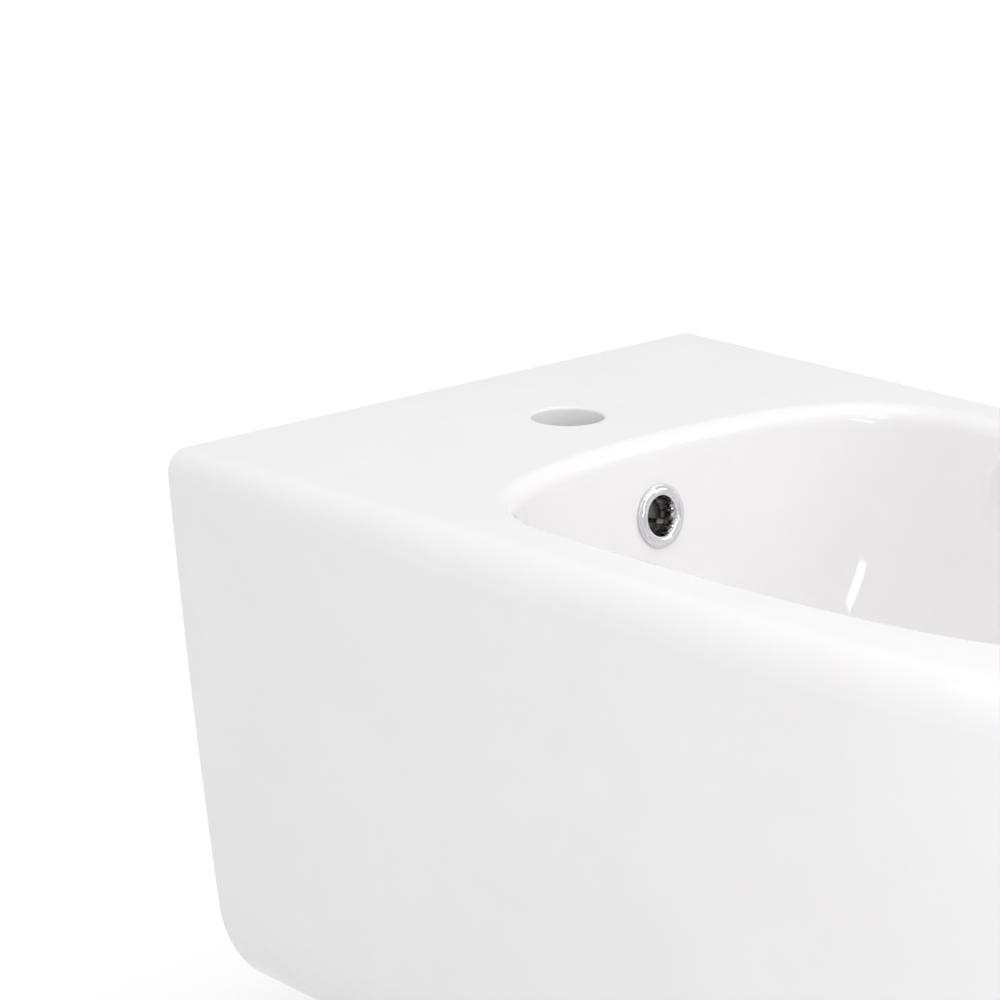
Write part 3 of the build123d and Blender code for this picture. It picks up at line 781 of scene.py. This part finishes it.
def glaze_material():
    """White gloss glaze, and bare clay where the attribute raw is one."""
    material, tree, shader, place = new_material("white_glaze")
    raw = add_node(tree, "ShaderNodeAttribute", attribute_name="raw").outputs["Fac"]
    pooled = spread(tree, noise(tree, place, 11.0, 3.0), 0.0, 1.0)
    mottled = spread(tree, noise(tree, place, 70.0, 2.0), 0.0, 0.35)
    thick = maths(tree, "ADD", pooled, mottled, clamp=True)
    glaze = blend_colours(tree, thick, GLAZE_THIN, GLAZE_THICK)
    clay = blend_colours(tree, spread(tree, noise(tree, place, 45.0, 5.0, 0.6), 0.0, 1.0),
                         CLAY_PALE, CLAY_DARK)
    colour = blend_colours(tree, raw, glaze, clay)
    tree.links.new(colour, shader.inputs["Base Color"])
    gloss = spread(tree, noise(tree, place, 24.0, 2.0), 0.035, 0.06)
    tree.links.new(maths(tree, "MULTIPLY_ADD", raw, 0.62, gloss), shader.inputs["Roughness"])
    waves = bump(tree, noise(tree, place, 22.0, 1.0), 0.00012)
    peel = bump(tree, noise(tree, place, 230.0, 1.0), 0.0000035, normal=waves)
    grit = bump(tree, noise(tree, place, 1500.0, 3.0), 0.00035, normal=peel)
    shift = add_node(tree, "ShaderNodeMix", data_type="VECTOR")
    for socket, value in ((shift.inputs[0], raw), (shift.inputs[4], peel), (shift.inputs[5], grit)):
        tree.links.new(value, socket)
    tree.links.new(shift.outputs[1], shader.inputs["Normal"])
    shader.inputs["IOR"].default_value = 1.52
    return material


glaze = glaze_material()
print("glaze nodes", len(glaze.node_tree.nodes))

# %% [markdown]
# ## The casting in one piece
#
# Skin, room, duct and openings come together here. Then each face is asked how far it lies from the
# glazed skin: a face on it is glazed, and one inside the casting or on the ground wall face is bare
# clay. The tap hole's bore is glazed only near the deck, as the dip leaves it.

# %% Where the clay is bare
GLAZE_REACH = 0.02
WALL_FACE_REACH = 0.1
BORE_GLAZED = 14.0
WELL_GLAZED = 6.0


def mark_bare_clay(mesh, skin):
    """Writes the attribute raw on the faces that the glaze leaves bare."""
    count = len(mesh.polygons)
    centres = np.zeros(count * 3)
    mesh.polygons.foreach_get("center", centres)
    centres = centres.reshape(-1, 3)
    glazed = BVHTree.FromPolygons([v.co for v in skin.vertices], [p.vertices for p in skin.polygons])
    apart = [glazed.find_nearest(Vector(spot))[3] for spot in centres]
    bare = np.array([distance > GLAZE_REACH * MM for distance in apart], float)
    across, back, height = (centres / MM).T
    bare[back > -WALL_FACE_REACH] = 1
    near_tap = np.hypot(across, back + TAP_BACK) < TAP_RADIUS + TAP_LIP
    bare[near_tap & (height < DECK - BORE_GLAZED)] = 1
    near_drain = np.hypot(across, back + DRAIN_BACK) < DRAIN_FLOOR
    bare[near_drain & (height < DECK - BOWL_DEPTH - WELL_GLAZED)] = 1
    mesh.attributes.new("raw", "FLOAT", "FACE").data.foreach_set("value", bare)
    print("bare faces", int(bare.sum()), "of", count)


# %% Casting
casting = combined(skin_mesh, [room, duct])
casting = made_by(opening_tree(), "ceramic_casting", casting, glaze)
mark_bare_clay(casting, skin_mesh)
carry(casting, "ceramic_casting", "bidet", "ceramic_body")

# %% [markdown]
# ## Metals, rubber and plastics
#
# The small parts are chromed or bare brass, zinc-plated steel, rubber and plain plastics. Polished
# chrome is never a perfect mirror: wiping leaves faint streaks, so its roughness varies a little.
# Turned brass shows fine rings from the tool, and moulded plastic a soft orange peel.

# %% Chrome


def drain_place(tree, place):
    """Coordinates centred on the drain's axis."""
    inputs = {"Vector": place, "Location": (0, DRAIN_BACK * MM, 0)}
    return add_node(tree, "ShaderNodeMapping", inputs).outputs[0]


def chrome_material(name, tint=(0.80, 0.80, 0.81), gloss=(0.045, 0.11)):
    """Polished chrome plate with faint wiping streaks."""
    material, tree, shader, place = new_material(name)
    long_place = add_node(tree, "ShaderNodeMapping", {"Vector": place, "Scale": (1.0, 0.25, 1.0),
                                                      "Rotation": (0.4, 0.2, 0.7)}).outputs[0]
    streak = noise(tree, long_place, 900.0, 4.0, 0.65)
    tree.links.new(spread(tree, streak, *gloss), shader.inputs["Roughness"])
    cloud = spread(tree, noise(tree, place, 160.0, 2.0), 0.0, 1.0)
    darker = tuple(0.955 * c for c in tint)
    tree.links.new(blend_colours(tree, cloud, tint, darker), shader.inputs["Base Color"])
    tree.links.new(bump(tree, noise(tree, place, 420.0, 2.0), 0.000004), shader.inputs["Normal"])
    shader.inputs["Metallic"].default_value = 1.0
    return material


# %% Turned metal


def turned_metal(name, pale, dark, gloss, centred=True):
    """Bare metal with the fine rings that a lathe leaves round its axis."""
    material, tree, shader, place = new_material(name)
    spot = drain_place(tree, place) if centred else place
    rings = add_node(tree, "ShaderNodeTexWave", {
        "Vector": spot, "Scale": 900.0, "Distortion": 1.5, "Detail": 2.0, "Detail Scale": 2.0},
        wave_type="RINGS", rings_direction="Z" if centred else "Y").outputs["Fac"]
    stain = spread(tree, noise(tree, place, 130.0, 4.0, 0.6), 0.0, 1.0)
    tree.links.new(blend_colours(tree, stain, pale, dark), shader.inputs["Base Color"])
    tree.links.new(spread(tree, noise(tree, place, 500.0, 3.0), *gloss), shader.inputs["Roughness"])
    tree.links.new(bump(tree, rings, 0.000012), shader.inputs["Normal"])
    shader.inputs["Metallic"].default_value = 1.0
    return material


# %% Rubber and plastic


def moulded(name, pale, dark, gloss, peel=0.00004, scale=700.0):
    """Moulded rubber or plastic: soft mottling and a shallow orange peel."""
    material, tree, shader, place = new_material(name)
    cloud = spread(tree, noise(tree, place, 90.0, 4.0, 0.6), 0.0, 1.0)
    tree.links.new(blend_colours(tree, cloud, pale, dark), shader.inputs["Base Color"])
    tree.links.new(spread(tree, noise(tree, place, 260.0, 3.0), *gloss), shader.inputs["Roughness"])
    tree.links.new(bump(tree, noise(tree, place, scale, 2.0), peel), shader.inputs["Normal"])
    return material


# %% Finishes of the small parts
ring_chrome = chrome_material("ring_chrome")
waste_chrome = chrome_material("waste_chrome", gloss=(0.06, 0.16))
cap_chrome = chrome_material("cap_chrome")
brass = turned_metal("turned_brass", (0.74, 0.56, 0.28), (0.60, 0.42, 0.19), (0.16, 0.34))
steel = turned_metal("plated_steel", (0.62, 0.62, 0.63), (0.50, 0.50, 0.52), (0.22, 0.42),
                     centred=False)
spring_steel = turned_metal("spring_steel", (0.56, 0.56, 0.57), (0.42, 0.42, 0.44), (0.2, 0.38))
rubber = moulded("black_rubber", (0.035, 0.035, 0.037), (0.022, 0.022, 0.023), (0.5, 0.7))
nylon = moulded("natural_nylon", (0.80, 0.78, 0.72), (0.74, 0.71, 0.64), (0.32, 0.5))
acetal = moulded("white_acetal", (0.84, 0.84, 0.82), (0.79, 0.79, 0.77), (0.28, 0.42))
sleeve_plastic = moulded("sleeve_polyethylene", (0.82, 0.82, 0.80), (0.76, 0.76, 0.74), (0.35, 0.55))

carried = {
    "waste_top_seal": rubber, "waste_cone_seal": rubber, "waste_slip_washer": nylon,
    "waste_backnut": brass, "plug_seal": rubber, "plug_stem": brass, "stem_clip": steel,
    "latch_housing": brass, "latch_ring": acetal, "spring_seat": steel,
}
for side in ("left", "right"):
    carried["fixing_sleeve_" + side] = sleeve_plastic
    carried["fixing_washer_" + side] = steel
    carried["fixing_nut_" + side] = steel
for node, material in carried.items():
    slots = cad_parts[node].data.materials
    slots.clear()
    slots.append(material)
print("materials on", len(carried), "nodes")

# %% [markdown]
# ## Turned parts
#
# The ring, the waste and the plug's cap come off a lathe: one half section, spun about an axis. The
# Screw modifier could do that, but a tree can do more on the way. Here a grid is rolled up round the
# axis, and each of its rows takes its radius and height from one point of the half section. A thread
# is then only a small change of radius that moves round as the height falls.

# %% Half sections
ROUND_STEPS = 5


def half_section(corners, name, closed=True):
    """Half section through corners, each a radius, a height, a rounding and pieces to the next."""
    spots = np.array([corner[:2] for corner in corners], float)
    arcs = []
    for i, corner in enumerate(corners):
        here, rounding = spots[i], corner[2] if len(corner) > 2 else 0.0
        if not rounding:
            arcs.append(here[None])
            continue
        back, ahead = [(spot - here) / np.linalg.norm(spot - here)
                       for spot in (spots[i - 1], spots[(i + 1) % len(spots)])]
        half = math.acos(np.clip(back @ ahead, -1, 1)) / 2
        reach = rounding / math.tan(half)
        t = np.linspace(0, 1, ROUND_STEPS + 1)[:, None]
        first, middle, last = (1 - t) ** 2, 2 * math.sin(half) * t * (1 - t), t**2
        arcs.append((first * (here + back * reach) + middle * here + last * (here + ahead * reach))
                    / (first + middle + last))
    line = []
    for i, corner in enumerate(corners):
        line += list(arcs[i])
        if len(corner) > 3:
            line += list(np.linspace(arcs[i][-1], arcs[(i + 1) % len(arcs)][0], corner[3] + 1)[1:-1])
    line += [line[0]] if closed else []
    mesh = bpy.data.meshes.new(name)
    edges = [(i, i + 1) for i in range(len(line) - 1)]
    mesh.from_pydata([(r * MM, 0, z * MM) for r, z in line], edges, [])
    return mesh


# %% Arcs


def arc_through(start, middle, end, count):
    """Points on the circle through three points, from start to end, with both left out."""
    (ax, ay), (bx, by), (cx, cy) = start, middle, end
    left = np.array([[bx - ax, by - ay], [cx - ax, cy - ay]]) * 2
    right = np.array([bx**2 + by**2 - ax**2 - ay**2, cx**2 + cy**2 - ax**2 - ay**2])
    x, y = np.linalg.solve(left, right)
    first, last = math.atan2(ay - y, ax - x), math.atan2(cy - y, cx - x)
    radius = math.hypot(ax - x, ay - y)
    turns = np.linspace(first, last, count + 2)[1:-1]
    return [(x + radius * math.cos(a), y + radius * math.sin(a)) for a in turns]


# %% Rolling a half section up round its axis


def rolled_up(tree, given, thread=False):
    """Grid rolled up round the Z axis, one row for each point of the half section."""
    section = given["Geometry"]
    count = add_node(tree, "GeometryNodeAttributeDomainSize", {"Geometry": section})
    rows = count.outputs["Point Count"]
    columns = maths(tree, "ADD", given["Steps round"], 1.0)
    grid = add_node(tree, "GeometryNodeMeshGrid", {"Vertices X": rows, "Vertices Y": columns})
    number = add_node(tree, "GeometryNodeInputIndex").outputs[0]
    row = maths(tree, "FLOOR", maths(tree, "DIVIDE", maths(tree, "ADD", number, 0.5), columns))
    column = maths(tree, "SUBTRACT", number, maths(tree, "MULTIPLY", row, columns))
    place = add_node(tree, "GeometryNodeInputPosition").outputs[0]
    point = add_node(tree, "GeometryNodeSampleIndex", {"Geometry": section, "Index": row},
                     data_type="FLOAT_VECTOR")
    tree.links.new(place, point.inputs["Value"])
    spot = add_node(tree, "ShaderNodeSeparateXYZ", {0: point.outputs["Value"]}).outputs
    share = maths(tree, "DIVIDE", column, given["Steps round"])
    turn = maths(tree, "MULTIPLY", share, 2 * math.pi)
    radius = spot["X"]
    if thread:
        radius = threaded(tree, given, radius, spot["Z"], share)
    x = maths(tree, "MULTIPLY", radius, maths(tree, "SINE", turn))
    y = maths(tree, "MULTIPLY", radius, maths(tree, "COSINE", turn))
    rolled = vector_of(tree, X=x, Y=y, Z=spot["Z"])
    shaped = add_node(tree, "GeometryNodeSetPosition",
                      {"Geometry": grid.outputs[0], "Position": rolled})
    return add_node(tree, "GeometryNodeMergeByDistance",
                    {"Geometry": shaped.outputs[0], "Distance": 0.000002}).outputs[0]


# %% Threads, copies and cuts


def threaded(tree, given, radius, height, share):
    """Radius with a round-bottomed screw thread cut into it, between two heights."""
    phase = maths(tree, "ADD", maths(tree, "DIVIDE", height, given["Thread pitch"]), share)
    wave = maths(tree, "COSINE", maths(tree, "MULTIPLY", phase, 2 * math.pi))
    groove = maths(tree, "MULTIPLY_ADD", wave, -0.5, 0.5)
    runs = []
    for edge, inward in ((given["Thread low"], 1.0), (given["Thread top"], -1.0)):
        inside = maths(tree, "MULTIPLY", maths(tree, "SUBTRACT", height, edge), inward)
        runs.append(maths(tree, "DIVIDE", inside, given["Thread pitch"], clamp=True))
    inner = maths(tree, "SUBTRACT", given["Thread radius"], 0.0001)
    skin = maths(tree, "GREATER_THAN", radius, inner)
    share_cut = maths(tree, "MULTIPLY", maths(tree, "MULTIPLY", runs[0], runs[1]), skin)
    depth = maths(tree, "MULTIPLY", maths(tree, "MULTIPLY", groove, share_cut), given["Thread depth"])
    return maths(tree, "SUBTRACT", radius, depth)


def round_the_axis(tree, thing, count, first_turn):
    """Copies of a thing, evenly spaced round the Z axis."""
    points = add_node(tree, "GeometryNodeMeshLine", {"Count": count, "Offset": (0, 0, 0)})
    number = add_node(tree, "GeometryNodeInputIndex").outputs[0]
    step = maths(tree, "DIVIDE", 2 * math.pi, count)
    turn = maths(tree, "MULTIPLY_ADD", number, step, first_turn)
    copies = add_node(tree, "GeometryNodeInstanceOnPoints", {
        "Points": points.outputs[0], "Instance": thing, "Rotation": vector_of(tree, Z=turn)})
    return add_node(tree, "GeometryNodeRealizeInstances", {"Geometry": copies.outputs[0]}).outputs[0]


def boolean(tree, first, second, operation):
    """Cuts one closed mesh from another, or joins the two."""
    node = add_node(tree, "GeometryNodeMeshBoolean", {"Mesh 2": second}, operation=operation,
                    solver="EXACT")
    tree.links.new(first, node.inputs["Mesh 1" if operation == "DIFFERENCE" else "Mesh 2"])
    return node.outputs[0]


# %% [markdown]
# ## The overflow ring
#
# The ring is a pressed and plated sleeve with a rounded bead. Six slots let its claws spring inwards as
# it is pushed into the hole, and a small barb behind the wall keeps it there. It leans back with the
# wall, so the finished turning is tilted before it is put in place.

# %% Tree: ring with claws
RING_STAND = 0.4
RING_BORE = 9.7
RING_SLEEVE = 11.3
RING_BARB = 12.0
RING_LENGTH = 21.0
RING_EDGE = 0.9


def ring_tree():
    """Tree that rolls the ring up, cuts its claw slots and sets it on the bowl's wall."""
    tree, given = geometry_tree("claw_ring", {
        "Steps round": 144, "Claws": 6, "Slot width": 0.0022, "Slot length": 0.02,
        "Slot corner": 0.0008, "Slot middle": -0.017, "Lean": 0.0, "Place": (0.0, 0.0, 0.0)})
    ring = rolled_up(tree, given)
    slot = rounded_block(tree, given["Slot width"], given["Slot length"], given["Slot corner"],
                         (0.008, 0, 0), (0.014, 0, 0))
    slot = moved(tree, slot, vector_of(tree, Z=given["Slot middle"]))
    slots = round_the_axis(tree, slot, given["Claws"], math.pi / 6)
    ring = boolean(tree, ring, slots, "DIFFERENCE")
    ring = moved(tree, ring, given["Place"], vector_of(tree, X=given["Lean"]))
    return end_tree(tree, ring, given["Material"])


crown = arc_through((14.1, RING_EDGE), (12.35, 2.4), (RING_BORE, 1.2), 14)
ring_section = half_section([
    (RING_BORE, 1.2), (RING_BORE, -RING_LENGTH, 0.2), (RING_SLEEVE, -RING_LENGTH, 0.3),
    (RING_BARB, -14.6, 0.2), (RING_SLEEVE, -13.9, 0.1), (RING_SLEEVE, 0.0, 0.3),
    (RING_RADIUS, 0.0, 0.15), (RING_RADIUS, RING_EDGE, 0.25), (14.1, RING_EDGE), *crown],
    "ring_section")

# %% Ring
out_of_wall = Vector((0, -math.cos(RING_TILT), math.sin(RING_TILT)))
ring_mesh = made_by(ring_tree(), "overflow_trim", ring_section, ring_chrome, {
    "Lean": math.pi / 2 - RING_TILT, "Place": RING_PLACE + out_of_wall * RING_STAND * MM})
carry(ring_mesh, "overflow_trim", "bidet", "overflow_ring")

# %% [markdown]
# ## The waste fitting
#
# The waste is one brass casting, turned and plated: a dished flange, four windows that let the overflow
# in, a spider that carries the push latch, and a tail with a pipe thread of eleven turns to the inch.
# The windows and the arms of the spider repeat round the axis, so the tree spaces them from a count.

# %% Tree: waste with thread, windows and spider
FLOOR = DECK - BOWL_DEPTH
DRAIN_SPOT = (0.0, -DRAIN_BACK * MM, FLOOR * MM)
TAIL_RADIUS = 20.95
TAIL_END = -92.0
THREAD_PITCH = 2.309
TUBE_BORE = 18.6
FLANGE_RADIUS = 32.5
FLANGE_THICKNESS = 3.0
RELIEF_RADIUS = 20.15
RELIEF_LOW = -61.5
RELIEF_HIGH = -59.0


def waste_tree():
    """Tree that rolls the waste up, cuts its windows and adds the spider."""
    tree, given = geometry_tree("waste_fitting", {
        "Steps round": 120, "Thread pitch": THREAD_PITCH * MM, "Thread depth": 0.00105,
        "Thread low": (TAIL_END + 1.0) * MM, "Thread top": -0.0425, "Thread radius": TAIL_RADIUS * MM,
        "Windows": 4, "Window width": 0.0172, "Window height": 0.013, "Window corner": 0.0022,
        "Window level": -0.0205, "Arms": 4, "Arm width": 0.003, "Arm corner": 0.0007,
        "Spider height": 0.008, "Spider level": -0.0436,
        "Hub radius": 0.009, "Hub bore": 0.00502, "Place": DRAIN_SPOT})
    shell = rolled_up(tree, given, thread=True)
    window = rounded_block(tree, given["Window width"], given["Window height"],
                           given["Window corner"], (0.012, 0, 0), (0.027, 0, 0))
    window = moved(tree, window, vector_of(tree, Z=given["Window level"]))
    windows = round_the_axis(tree, window, given["Windows"], math.pi / 4)
    shell = boolean(tree, shell, windows, "DIFFERENCE")
    arm = rounded_block(tree, given["Arm width"], given["Spider height"], given["Arm corner"],
                        (0.0065, 0, 0), (0.0193, 0, 0))
    arms = round_the_axis(tree, arm, given["Arms"], 0.0)
    hub = cylinder(tree, 72, given["Hub radius"], given["Spider height"])
    bore = cylinder(tree, 72, given["Hub bore"], 0.03)
    spider = boolean(tree, boolean(tree, hub, arms, "UNION"), bore, "DIFFERENCE")
    spider = moved(tree, spider, vector_of(tree, Z=given["Spider level"]))
    body = boolean(tree, shell, spider, "UNION")
    return end_tree(tree, moved(tree, body, given["Place"]), given["Material"])


# %% Waste
waste_section = half_section([
    (26.0, 0.0, 1.2), (TUBE_BORE, -4.0, 1.5), (TUBE_BORE, TAIL_END, 0.3),
    (TAIL_RADIUS, TAIL_END, 0.8), (TAIL_RADIUS, -90.6, 0.0, 100), (TAIL_RADIUS, RELIEF_LOW, 0.1),
    (RELIEF_RADIUS, RELIEF_LOW, 0.3), (RELIEF_RADIUS, RELIEF_HIGH, 0.3),
    (TAIL_RADIUS, RELIEF_HIGH, 0.1, 56), (TAIL_RADIUS, -42.0),
    (TAIL_RADIUS, -FLANGE_THICKNESS, 0.6), (FLANGE_RADIUS, -FLANGE_THICKNESS, 0.2),
    (FLANGE_RADIUS, 0.0, 1.1)], "waste_section")
waste_mesh = made_by(waste_tree(), "waste_fitting", waste_section, waste_chrome)
carry(waste_mesh, "waste_fitting", "bidet", "waste_body")

# %% [markdown]
# ## The plug's cap
#
# The cap is what a foot or a finger presses, so it is polished like a mirror. Its crown is the slice of
# a large sphere: worked out as an arc, it gives a reflection that runs evenly to the edge.

# %% Cap
CAP_UNDER = 9.5
CAP_RADIUS = 30.5
CAP_EDGE = 11.7
CAP_TOP = 14.7
GROOVE_INNER = 20.98
GROOVE_OUTER = 25.02
GROOVE_ROOF = 10.7
NECK_RADIUS = 6.5
NECK_END = 1.5
CAP_BORE = 4.02
CAP_BORE_TOP = 10.5


def cap_tree():
    """Tree that rolls the cap up and sets it over the drain."""
    tree, given = geometry_tree("plug_dome", {"Steps round": 144, "Place": DRAIN_SPOT})
    return end_tree(tree, moved(tree, rolled_up(tree, given), given["Place"]), given["Material"])


dome = arc_through((-CAP_RADIUS, CAP_EDGE), (0, CAP_TOP), (CAP_RADIUS, CAP_EDGE), 47)
cap_section = half_section([
    (0.0, CAP_TOP), *[spot for spot in dome if spot[0] > 0.5], (CAP_RADIUS, CAP_EDGE, 0.5),
    (CAP_RADIUS, CAP_UNDER, 0.7), (GROOVE_OUTER, CAP_UNDER, 0.15), (GROOVE_OUTER, GROOVE_ROOF),
    (GROOVE_INNER, GROOVE_ROOF), (GROOVE_INNER, CAP_UNDER, 0.15), (NECK_RADIUS, CAP_UNDER, 1.0),
    (NECK_RADIUS, NECK_END, 0.4), (CAP_BORE, NECK_END, 0.25), (CAP_BORE, CAP_BORE_TOP),
    (0.0, CAP_BORE_TOP)], "cap_section", closed=False)
cap_mesh = made_by(cap_tree(), "plug_dome", cap_section, cap_chrome)
carry(cap_mesh, "plug_dome", "plug", "plug_cap")

# %% [markdown]
# ## The latch's spring
#
# A spring maker closes the last turn at each end and grinds it flat, so that the spring stands
# straight. The tree winds a line of points by that rule: the end turns rise by one wire, the others
# share what is left. The two flats come from holding every point between the two seats.

# %% Tree: wound spring
SPRING_LOW = -36.58
SPRING_HIGH = -16.62


def spring_tree():
    """Tree that winds the spring, grinds its ends and sets it in the latch."""
    tree, given = geometry_tree("pressure_spring", {
        "Wire radius": 0.0005, "Mean radius": 0.0042, "Turns": 7.0, "End turns": 1.0,
        "Steps a turn": 48.0, "Low": SPRING_LOW * MM, "High": SPRING_HIGH * MM, "Grinding": 0.0003,
        "Place": DRAIN_SPOT})
    count = maths(tree, "MULTIPLY", given["Turns"], given["Steps a turn"])
    line = add_node(tree, "GeometryNodeMeshLine", {"Count": count, "Offset": (0, 0, 0.0001)})
    number = add_node(tree, "GeometryNodeInputIndex").outputs[0]
    share = maths(tree, "DIVIDE", number, maths(tree, "SUBTRACT", count, 1.0))
    wound = maths(tree, "MULTIPLY", share, given["Turns"])
    turn = maths(tree, "MULTIPLY", wound, 2 * math.pi)
    wire = maths(tree, "MULTIPLY", given["Wire radius"], 2.0)
    inset = maths(tree, "SUBTRACT", given["Wire radius"], given["Grinding"])
    low = maths(tree, "ADD", given["Low"], inset)
    rise = maths(tree, "SUBTRACT", maths(tree, "SUBTRACT", given["High"], inset), low)
    closed = maths(tree, "MULTIPLY", given["End turns"], wire)
    open_turns = maths(tree, "MULTIPLY_ADD", given["End turns"], -2.0, given["Turns"])
    pitch = maths(tree, "DIVIDE", maths(tree, "MULTIPLY_ADD", closed, -2.0, rise), open_turns)
    first = maths(tree, "MULTIPLY", maths(tree, "MINIMUM", wound, given["End turns"]), wire)
    after = maths(tree, "MAXIMUM", maths(tree, "SUBTRACT", wound, given["End turns"]), 0.0)
    middle = maths(tree, "MULTIPLY", maths(tree, "MINIMUM", after, open_turns), pitch)
    over = maths(tree, "MAXIMUM", maths(tree, "SUBTRACT", after, open_turns), 0.0)
    last = maths(tree, "MULTIPLY", over, wire)
    height = maths(tree, "ADD", maths(tree, "ADD", low, first), maths(tree, "ADD", middle, last))
    x = maths(tree, "MULTIPLY", given["Mean radius"], maths(tree, "COSINE", turn))
    y = maths(tree, "MULTIPLY", given["Mean radius"], maths(tree, "SINE", turn))
    spot = vector_of(tree, X=x, Y=y, Z=height)
    path = add_node(tree, "GeometryNodeSetPosition", {"Geometry": line.outputs[0], "Position": spot})
    curve = add_node(tree, "GeometryNodeMeshToCurve", {"Mesh": path.outputs[0]})
    round_wire = add_node(tree, "GeometryNodeCurvePrimitiveCircle", {
        "Resolution": 12, "Radius": given["Wire radius"]}, mode="RADIUS")
    coil = add_node(tree, "GeometryNodeCurveToMesh", {"Curve": curve.outputs[0], "Fill Caps": True,
                                                      "Profile Curve": round_wire.outputs[0]})
    place = add_node(tree, "GeometryNodeInputPosition").outputs[0]
    parts = add_node(tree, "ShaderNodeSeparateXYZ", {0: place}).outputs
    held = maths(tree, "MINIMUM", maths(tree, "MAXIMUM", parts["Z"], given["Low"]), given["High"])
    ground = vector_of(tree, X=parts["X"], Y=parts["Y"], Z=held)
    coil = add_node(tree, "GeometryNodeSetPosition", {"Geometry": coil.outputs[0], "Position": ground})
    return end_tree(tree, moved(tree, coil.outputs[0], given["Place"]), given["Material"])


# %% Spring
spring_mesh = made_by(spring_tree(), "latch_coil", bpy.data.meshes.new("coil"), spring_steel)
spring = carry(spring_mesh, "latch_coil", "bidet", "latch_spring")
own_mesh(spring)

# %% [markdown]
# ## Studio
#
# The picture is high-key: white ground, white light from almost everywhere, and only just enough
# difference between the sides to model the form. A bright even world gives that. Four soft lamps add
# the direction: one overhead, one over the camera's shoulder, one from the right, and a narrow slanted
# window that draws the highlight in the bowl's far corner. The floor is plain and pale and keeps the
# shadow near the body, and further out the camera and the chrome see white.

# %% Floor
FLOOR_Z = -0.32
FLOOR_REACH = 6.0
FLOOR_FADE = 0.28


def studio_floor():
    """Plain pale floor under the hanging body, as far below the deck as in a bathroom."""
    mesh = bpy.data.meshes.new("studio_floor")
    corners = [(x * FLOOR_REACH, y * FLOOR_REACH, FLOOR_Z)
               for x, y in ((-1, -1), (1, -1), (1, 1), (-1, 1))]
    mesh.from_pydata(corners, [], [(0, 1, 2, 3)])
    material = bpy.data.materials.new("floor_paint")
    material.use_nodes = True
    tree = material.node_tree
    tree.nodes.clear()
    paint = add_node(tree, "ShaderNodeBsdfDiffuse", {"Color": (0.93, 0.93, 0.93, 1.0)})
    white = add_node(tree, "ShaderNodeEmission", {"Color": (1, 1, 1, 1), "Strength": 1.0})
    path = add_node(tree, "ShaderNodeLightPath")
    place = add_node(tree, "ShaderNodeTexCoord").outputs["Object"]
    spot = add_node(tree, "ShaderNodeSeparateXYZ", {0: place}).outputs
    beyond = []
    half_width, half_length = BODY_WIDTH / 2 * MM, PROJECTION / 2 * MM
    for axis, centre, half in (("X", 0.0, half_width), ("Y", half_length, half_length)):
        offset = maths(tree, "ABSOLUTE", maths(tree, "ADD", spot[axis], centre))
        beyond.append(maths(tree, "MAXIMUM", maths(tree, "SUBTRACT", offset, half), 0.0))
    apart = maths(tree, "SQRT", maths(tree, "ADD", maths(tree, "POWER", beyond[0], 2.0),
                                      maths(tree, "POWER", beyond[1], 2.0)))
    fade = {"Value": apart, "From Min": 0.0, "From Max": FLOOR_FADE}
    far = add_node(tree, "ShaderNodeMapRange", fade, interpolation_type="SMOOTHSTEP").outputs[0]
    seen = maths(tree, "MAXIMUM", path.outputs["Is Camera Ray"], path.outputs["Is Glossy Ray"])
    mix = add_node(tree, "ShaderNodeMixShader", {0: maths(tree, "MULTIPLY", far, seen),
                                                 1: paint.outputs[0], 2: white.outputs[0]})
    add_node(tree, "ShaderNodeOutputMaterial", {"Surface": mix.outputs[0]})
    mesh.materials.append(material)
    return placed(mesh, "studio_floor")


floor = studio_floor()


# %% World
WORLD_LIGHT = 0.755


def studio_world():
    """White to the eye and to the chrome, and a soft even light to everything else."""
    world = bpy.data.worlds.new("studio")
    bpy.context.scene.world = world
    world.use_nodes = True
    tree = world.node_tree
    tree.nodes.clear()
    path = add_node(tree, "ShaderNodeLightPath")
    light = add_node(tree, "ShaderNodeBackground",
                     {"Color": (0.985, 0.99, 1.0, 1.0), "Strength": WORLD_LIGHT})
    white = add_node(tree, "ShaderNodeBackground", {"Color": (1, 1, 1, 1), "Strength": 1.0})
    mix = add_node(tree, "ShaderNodeMixShader", {0: path.outputs["Is Camera Ray"], 1: light.outputs[0],
                                                 2: white.outputs[0]})
    add_node(tree, "ShaderNodeOutputWorld", {"Surface": mix.outputs[0]})


# %% Lamps
BOWL_CORNER = (0.108, -0.179, 0.0)


def soft_lamp(name, place, aim, width, height, power, along=(0, 0, 1)):
    """Large soft lamp that points at a place, with its height along a direction."""
    data = bpy.data.lights.new(name, "AREA")
    data.shape, data.size, data.size_y, data.energy = "RECTANGLE", width, height, power
    lamp = bpy.data.objects.new(name, data)
    bpy.context.scene.collection.objects.link(lamp)
    lamp.location = place
    back = (Vector(place) - Vector(aim)).normalized()
    across = Vector(along).cross(back).normalized()
    lamp.rotation_euler = Matrix((across, back.cross(across), back)).transposed().to_euler()


studio_world()
soft_lamp("overhead", (0, -0.5, 1.4), (0, -0.3, 0.0), 1.4, 1.4, 4.85)
soft_lamp("over_the_shoulder", (-1.0, -1.1, 1.2), (0, -0.25, 0.05), 0.5, 0.5, 4.6)
soft_lamp("from_the_right", (1.1, -1.1, 1.0), (0, -0.25, 0.0), 0.8, 0.8, 4.7)
soft_lamp("window", (-1.03, -1.74, 0.52), BOWL_CORNER, 0.2, 0.97, 3.2, along=(0.71, -0.32, 0.57))
bpy.context.scene.view_settings.view_transform = "Standard"
